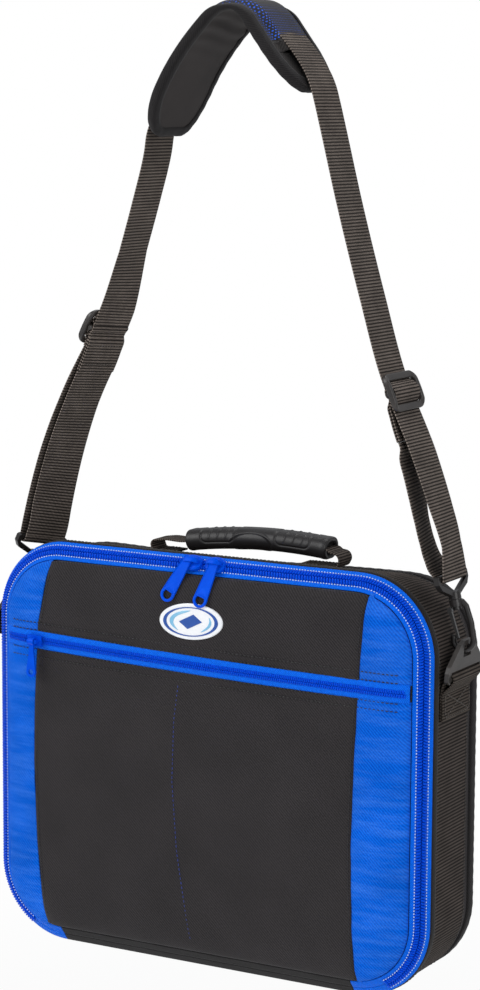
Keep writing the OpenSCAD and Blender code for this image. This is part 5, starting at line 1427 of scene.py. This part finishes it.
# the first colour is the grooves' painted shade and the last the crests' painted highlight
handle_webbing = ribbed("ribbed nylon webbing of the handle", "#100e0d", "#2b2725", "#776c64", 1.9)
legs = []
for name, (x, r, way, length) in zip(("handle_tab_webbing_left", "handle_tab_webbing_right"), FOLDS):
    a = np.radians(np.linspace(-90, 90, 11))
    path = [(x - way * q, TAB_Z + 0.8) for q in np.linspace(length, 3, 8)]
    path += [(x + way * (r + 0.8) * np.cos(t), TAB_Z + 1.6 + r + (r + 0.8) * np.sin(t)) for t in a]
    # the tab follows the sunken cloth, and its fold stands up to the handle's own webbing
    points = settled(np.array([(px, HANDLE_Y, pz) for px, pz in path]))
    points[-8:, 2] = np.array(path)[-8:, 1]
    piece = ribbon(name, [(p, BACK) for p in points], HANDLE_W, HANDLE_T, handle_webbing, 1.9, 0.1)
    fit(piece, "case", "webbing", name.replace("_webbing", ""))
    legs.append((x, TAB_Z + 1.6 + 2 * r + 0.8))
    y, q = np.array([-7.5, 7.5, 7.5, -7.5, -7.5]), np.array([4.0, 4.0, length - 3, length - 3, 4.0])
    t = np.linspace(0, 4, 120)
    px, py = x - way * np.interp(t, range(5), q), HANDLE_Y + np.interp(t, range(5), y)
    path = settled(np.stack([px, np.full(120, HANDLE_Y), np.full(120, TAB_Z + 1.58)], -1))
    path[:, 1] = py
    rows_of_stitches(f"{name}_stitches", *stitched(path, (0.0, 0.0, 1.0), 2.8), 0.3, brown_thread, "case",
                     "webbing")
(left_x, left_z), (right_x, right_z) = legs
path = [(left_x + 0.1, left_z), (left_x + 6.0, left_z + 0.9)]
path += [tuple(on_grip(u, 0.0, 0.0)[[0, 2]]) for u in np.linspace(-60, 60, 17)]
path += [(right_x - 2.1, right_z + 0.3), (right_x - 0.1, right_z)]
piece = ribbon("handle_strip_webbing", [(np.array([px, HANDLE_Y, pz]), BACK) for px, pz in path], HANDLE_W,
               HANDLE_T, handle_webbing, 1.9, 0.1)
fit(piece, "handle", "webbing", "handle_webbing")

# The grip is moulded in soft black PVC: a stadium section on a long arc, with three raised bars in
# a rounded outline towards each end, on its top and its front, and a sunk oval in the middle
grip_pvc, tree, shader = finish_of("soft black PVC of the grip", Roughness=0.42, Specular_IOR_Level=0.45)
at = add_node(tree, "ShaderNodeTexCoord").outputs["Object"]
# the mould's fine leather grain is about 0.7 mm across
grain = add_node(tree, "ShaderNodeTexVoronoi", {"Vector": at, "Scale": 1400.0}, feature="SMOOTH_F1")
cloud = add_node(tree, "ShaderNodeTexNoise", {"Vector": at, "Scale": 60.0, "Detail": 3.0})
dressed(tree, shader, cloud.outputs["Fac"], colour("#141314"), colour("#262425"), grain.outputs["Distance"],
        0.25, 0.0002)
gloss = add_node(tree, "ShaderNodeMapRange", {"Value": cloud.outputs["Fac"], "To Min": 0.34, "To Max": 0.52})
tree.links.new(gloss.outputs[0], shader.inputs["Roughness"])

round_r, flat = GRIP_H / 2, (GRIP_D - GRIP_H) / 2
quarter = np.pi / 2 * round_r
girth = 4 * flat + 4 * quarter
u = np.linspace(-GRIP_LEN / 2, GRIP_LEN / 2, 300)[:, None]
g = np.linspace(0, girth, 161)[None, :-1]
# g starts at the middle of the top and runs down the front, under and up the back
fold = np.where(g > girth / 2, girth - g, g)
turn = np.clip((fold - flat) / round_r, 0, np.pi)
under = np.clip(fold - flat - 2 * quarter, 0, flat)
w = np.where(turn <= 0, -fold, -(flat + round_r * np.sin(turn)))
w = np.where(turn >= np.pi, -(flat - under), w)
v = round_r * np.cos(turn)
w = np.where(g > girth / 2, -w, w)
nw, nv = np.where(g > girth / 2, 1.0, -1.0) * np.sin(turn), np.cos(turn)
lift = np.zeros((300, 160))
front_g = np.where(g > girth / 2, g - girth, g)     # down the front from the top's middle
for middle_u in (-31.0, 31.0):
    for rib in (-7.0, 0.0, 7.0):
        bow = rib + middle_u + 0.9 * np.sin(front_g / 14.0 * np.pi)
        bar = np.clip(1 - ((front_g - 2.5) / 12.5) ** 4, 0, 1)
        lift += 0.5 * bar * np.exp(-((u - bow) / 0.8) ** 2)
    # the outline is a rounded rectangle: a groove where its distance is zero
    du, dg = np.abs(u - middle_u) - (14.0 - 5.0), np.abs(front_g - 2.0) - (15.5 - 5.0)
    far = np.hypot(np.maximum(du, 0), np.maximum(dg, 0)) + np.minimum(np.maximum(du, dg), 0) - 5.0
    lift += -0.55 * np.exp(-(far / 0.7) ** 2) - 0.25 * (far < 0)
oval_at = np.hypot((u + 3.0) / 17.0, (front_g - 19.0) / 9.0)
lift += -0.5 * np.clip((1 - oval_at) / 0.08, 0, 1) + 0.35 * np.exp(-((oval_at - 1.07) / 0.05) ** 2)
ends = np.abs(u) - GRIP_LEN / 2
lift += 0.22 * np.exp(-((ends + 3.0) / 1.6) ** 2) - 0.9 * np.clip((ends + 1.2) / 1.2, 0, 1) ** 2
outer = on_grip(u, v + lift * nv, w + lift * nw)
# each end is open: its lip turns in and runs back to the slot round the webbing
rings = []
for way, reach in ((1.0, (0.0, 0.0, 2.0, 2.6)), (-1.0, (2.6, 2.0, 0.0, 0.0))):
    shares = (0.86, 0.7, 0.62, 0.14) if way > 0 else (0.14, 0.62, 0.7, 0.86)
    rings.append(np.concatenate([on_grip(way * (GRIP_LEN / 2 - q), v * k, w * max(k, 0.93 if k < 0.2 else k))
                                 for q, k in zip(reach, shares)]))
points = np.concatenate([rings[1], outer, rings[0]])
uv = grid(np.concatenate([np.full(4, -62.0), u[:, 0], np.full(4, 62.0)]), np.linspace(0, girth, 161))
piece = surface("handle_grip_moulding", points, uv, grip_pvc, closed_v=True)
fit(turned_out(piece), "handle", "grip_rubber", "handle_grip")
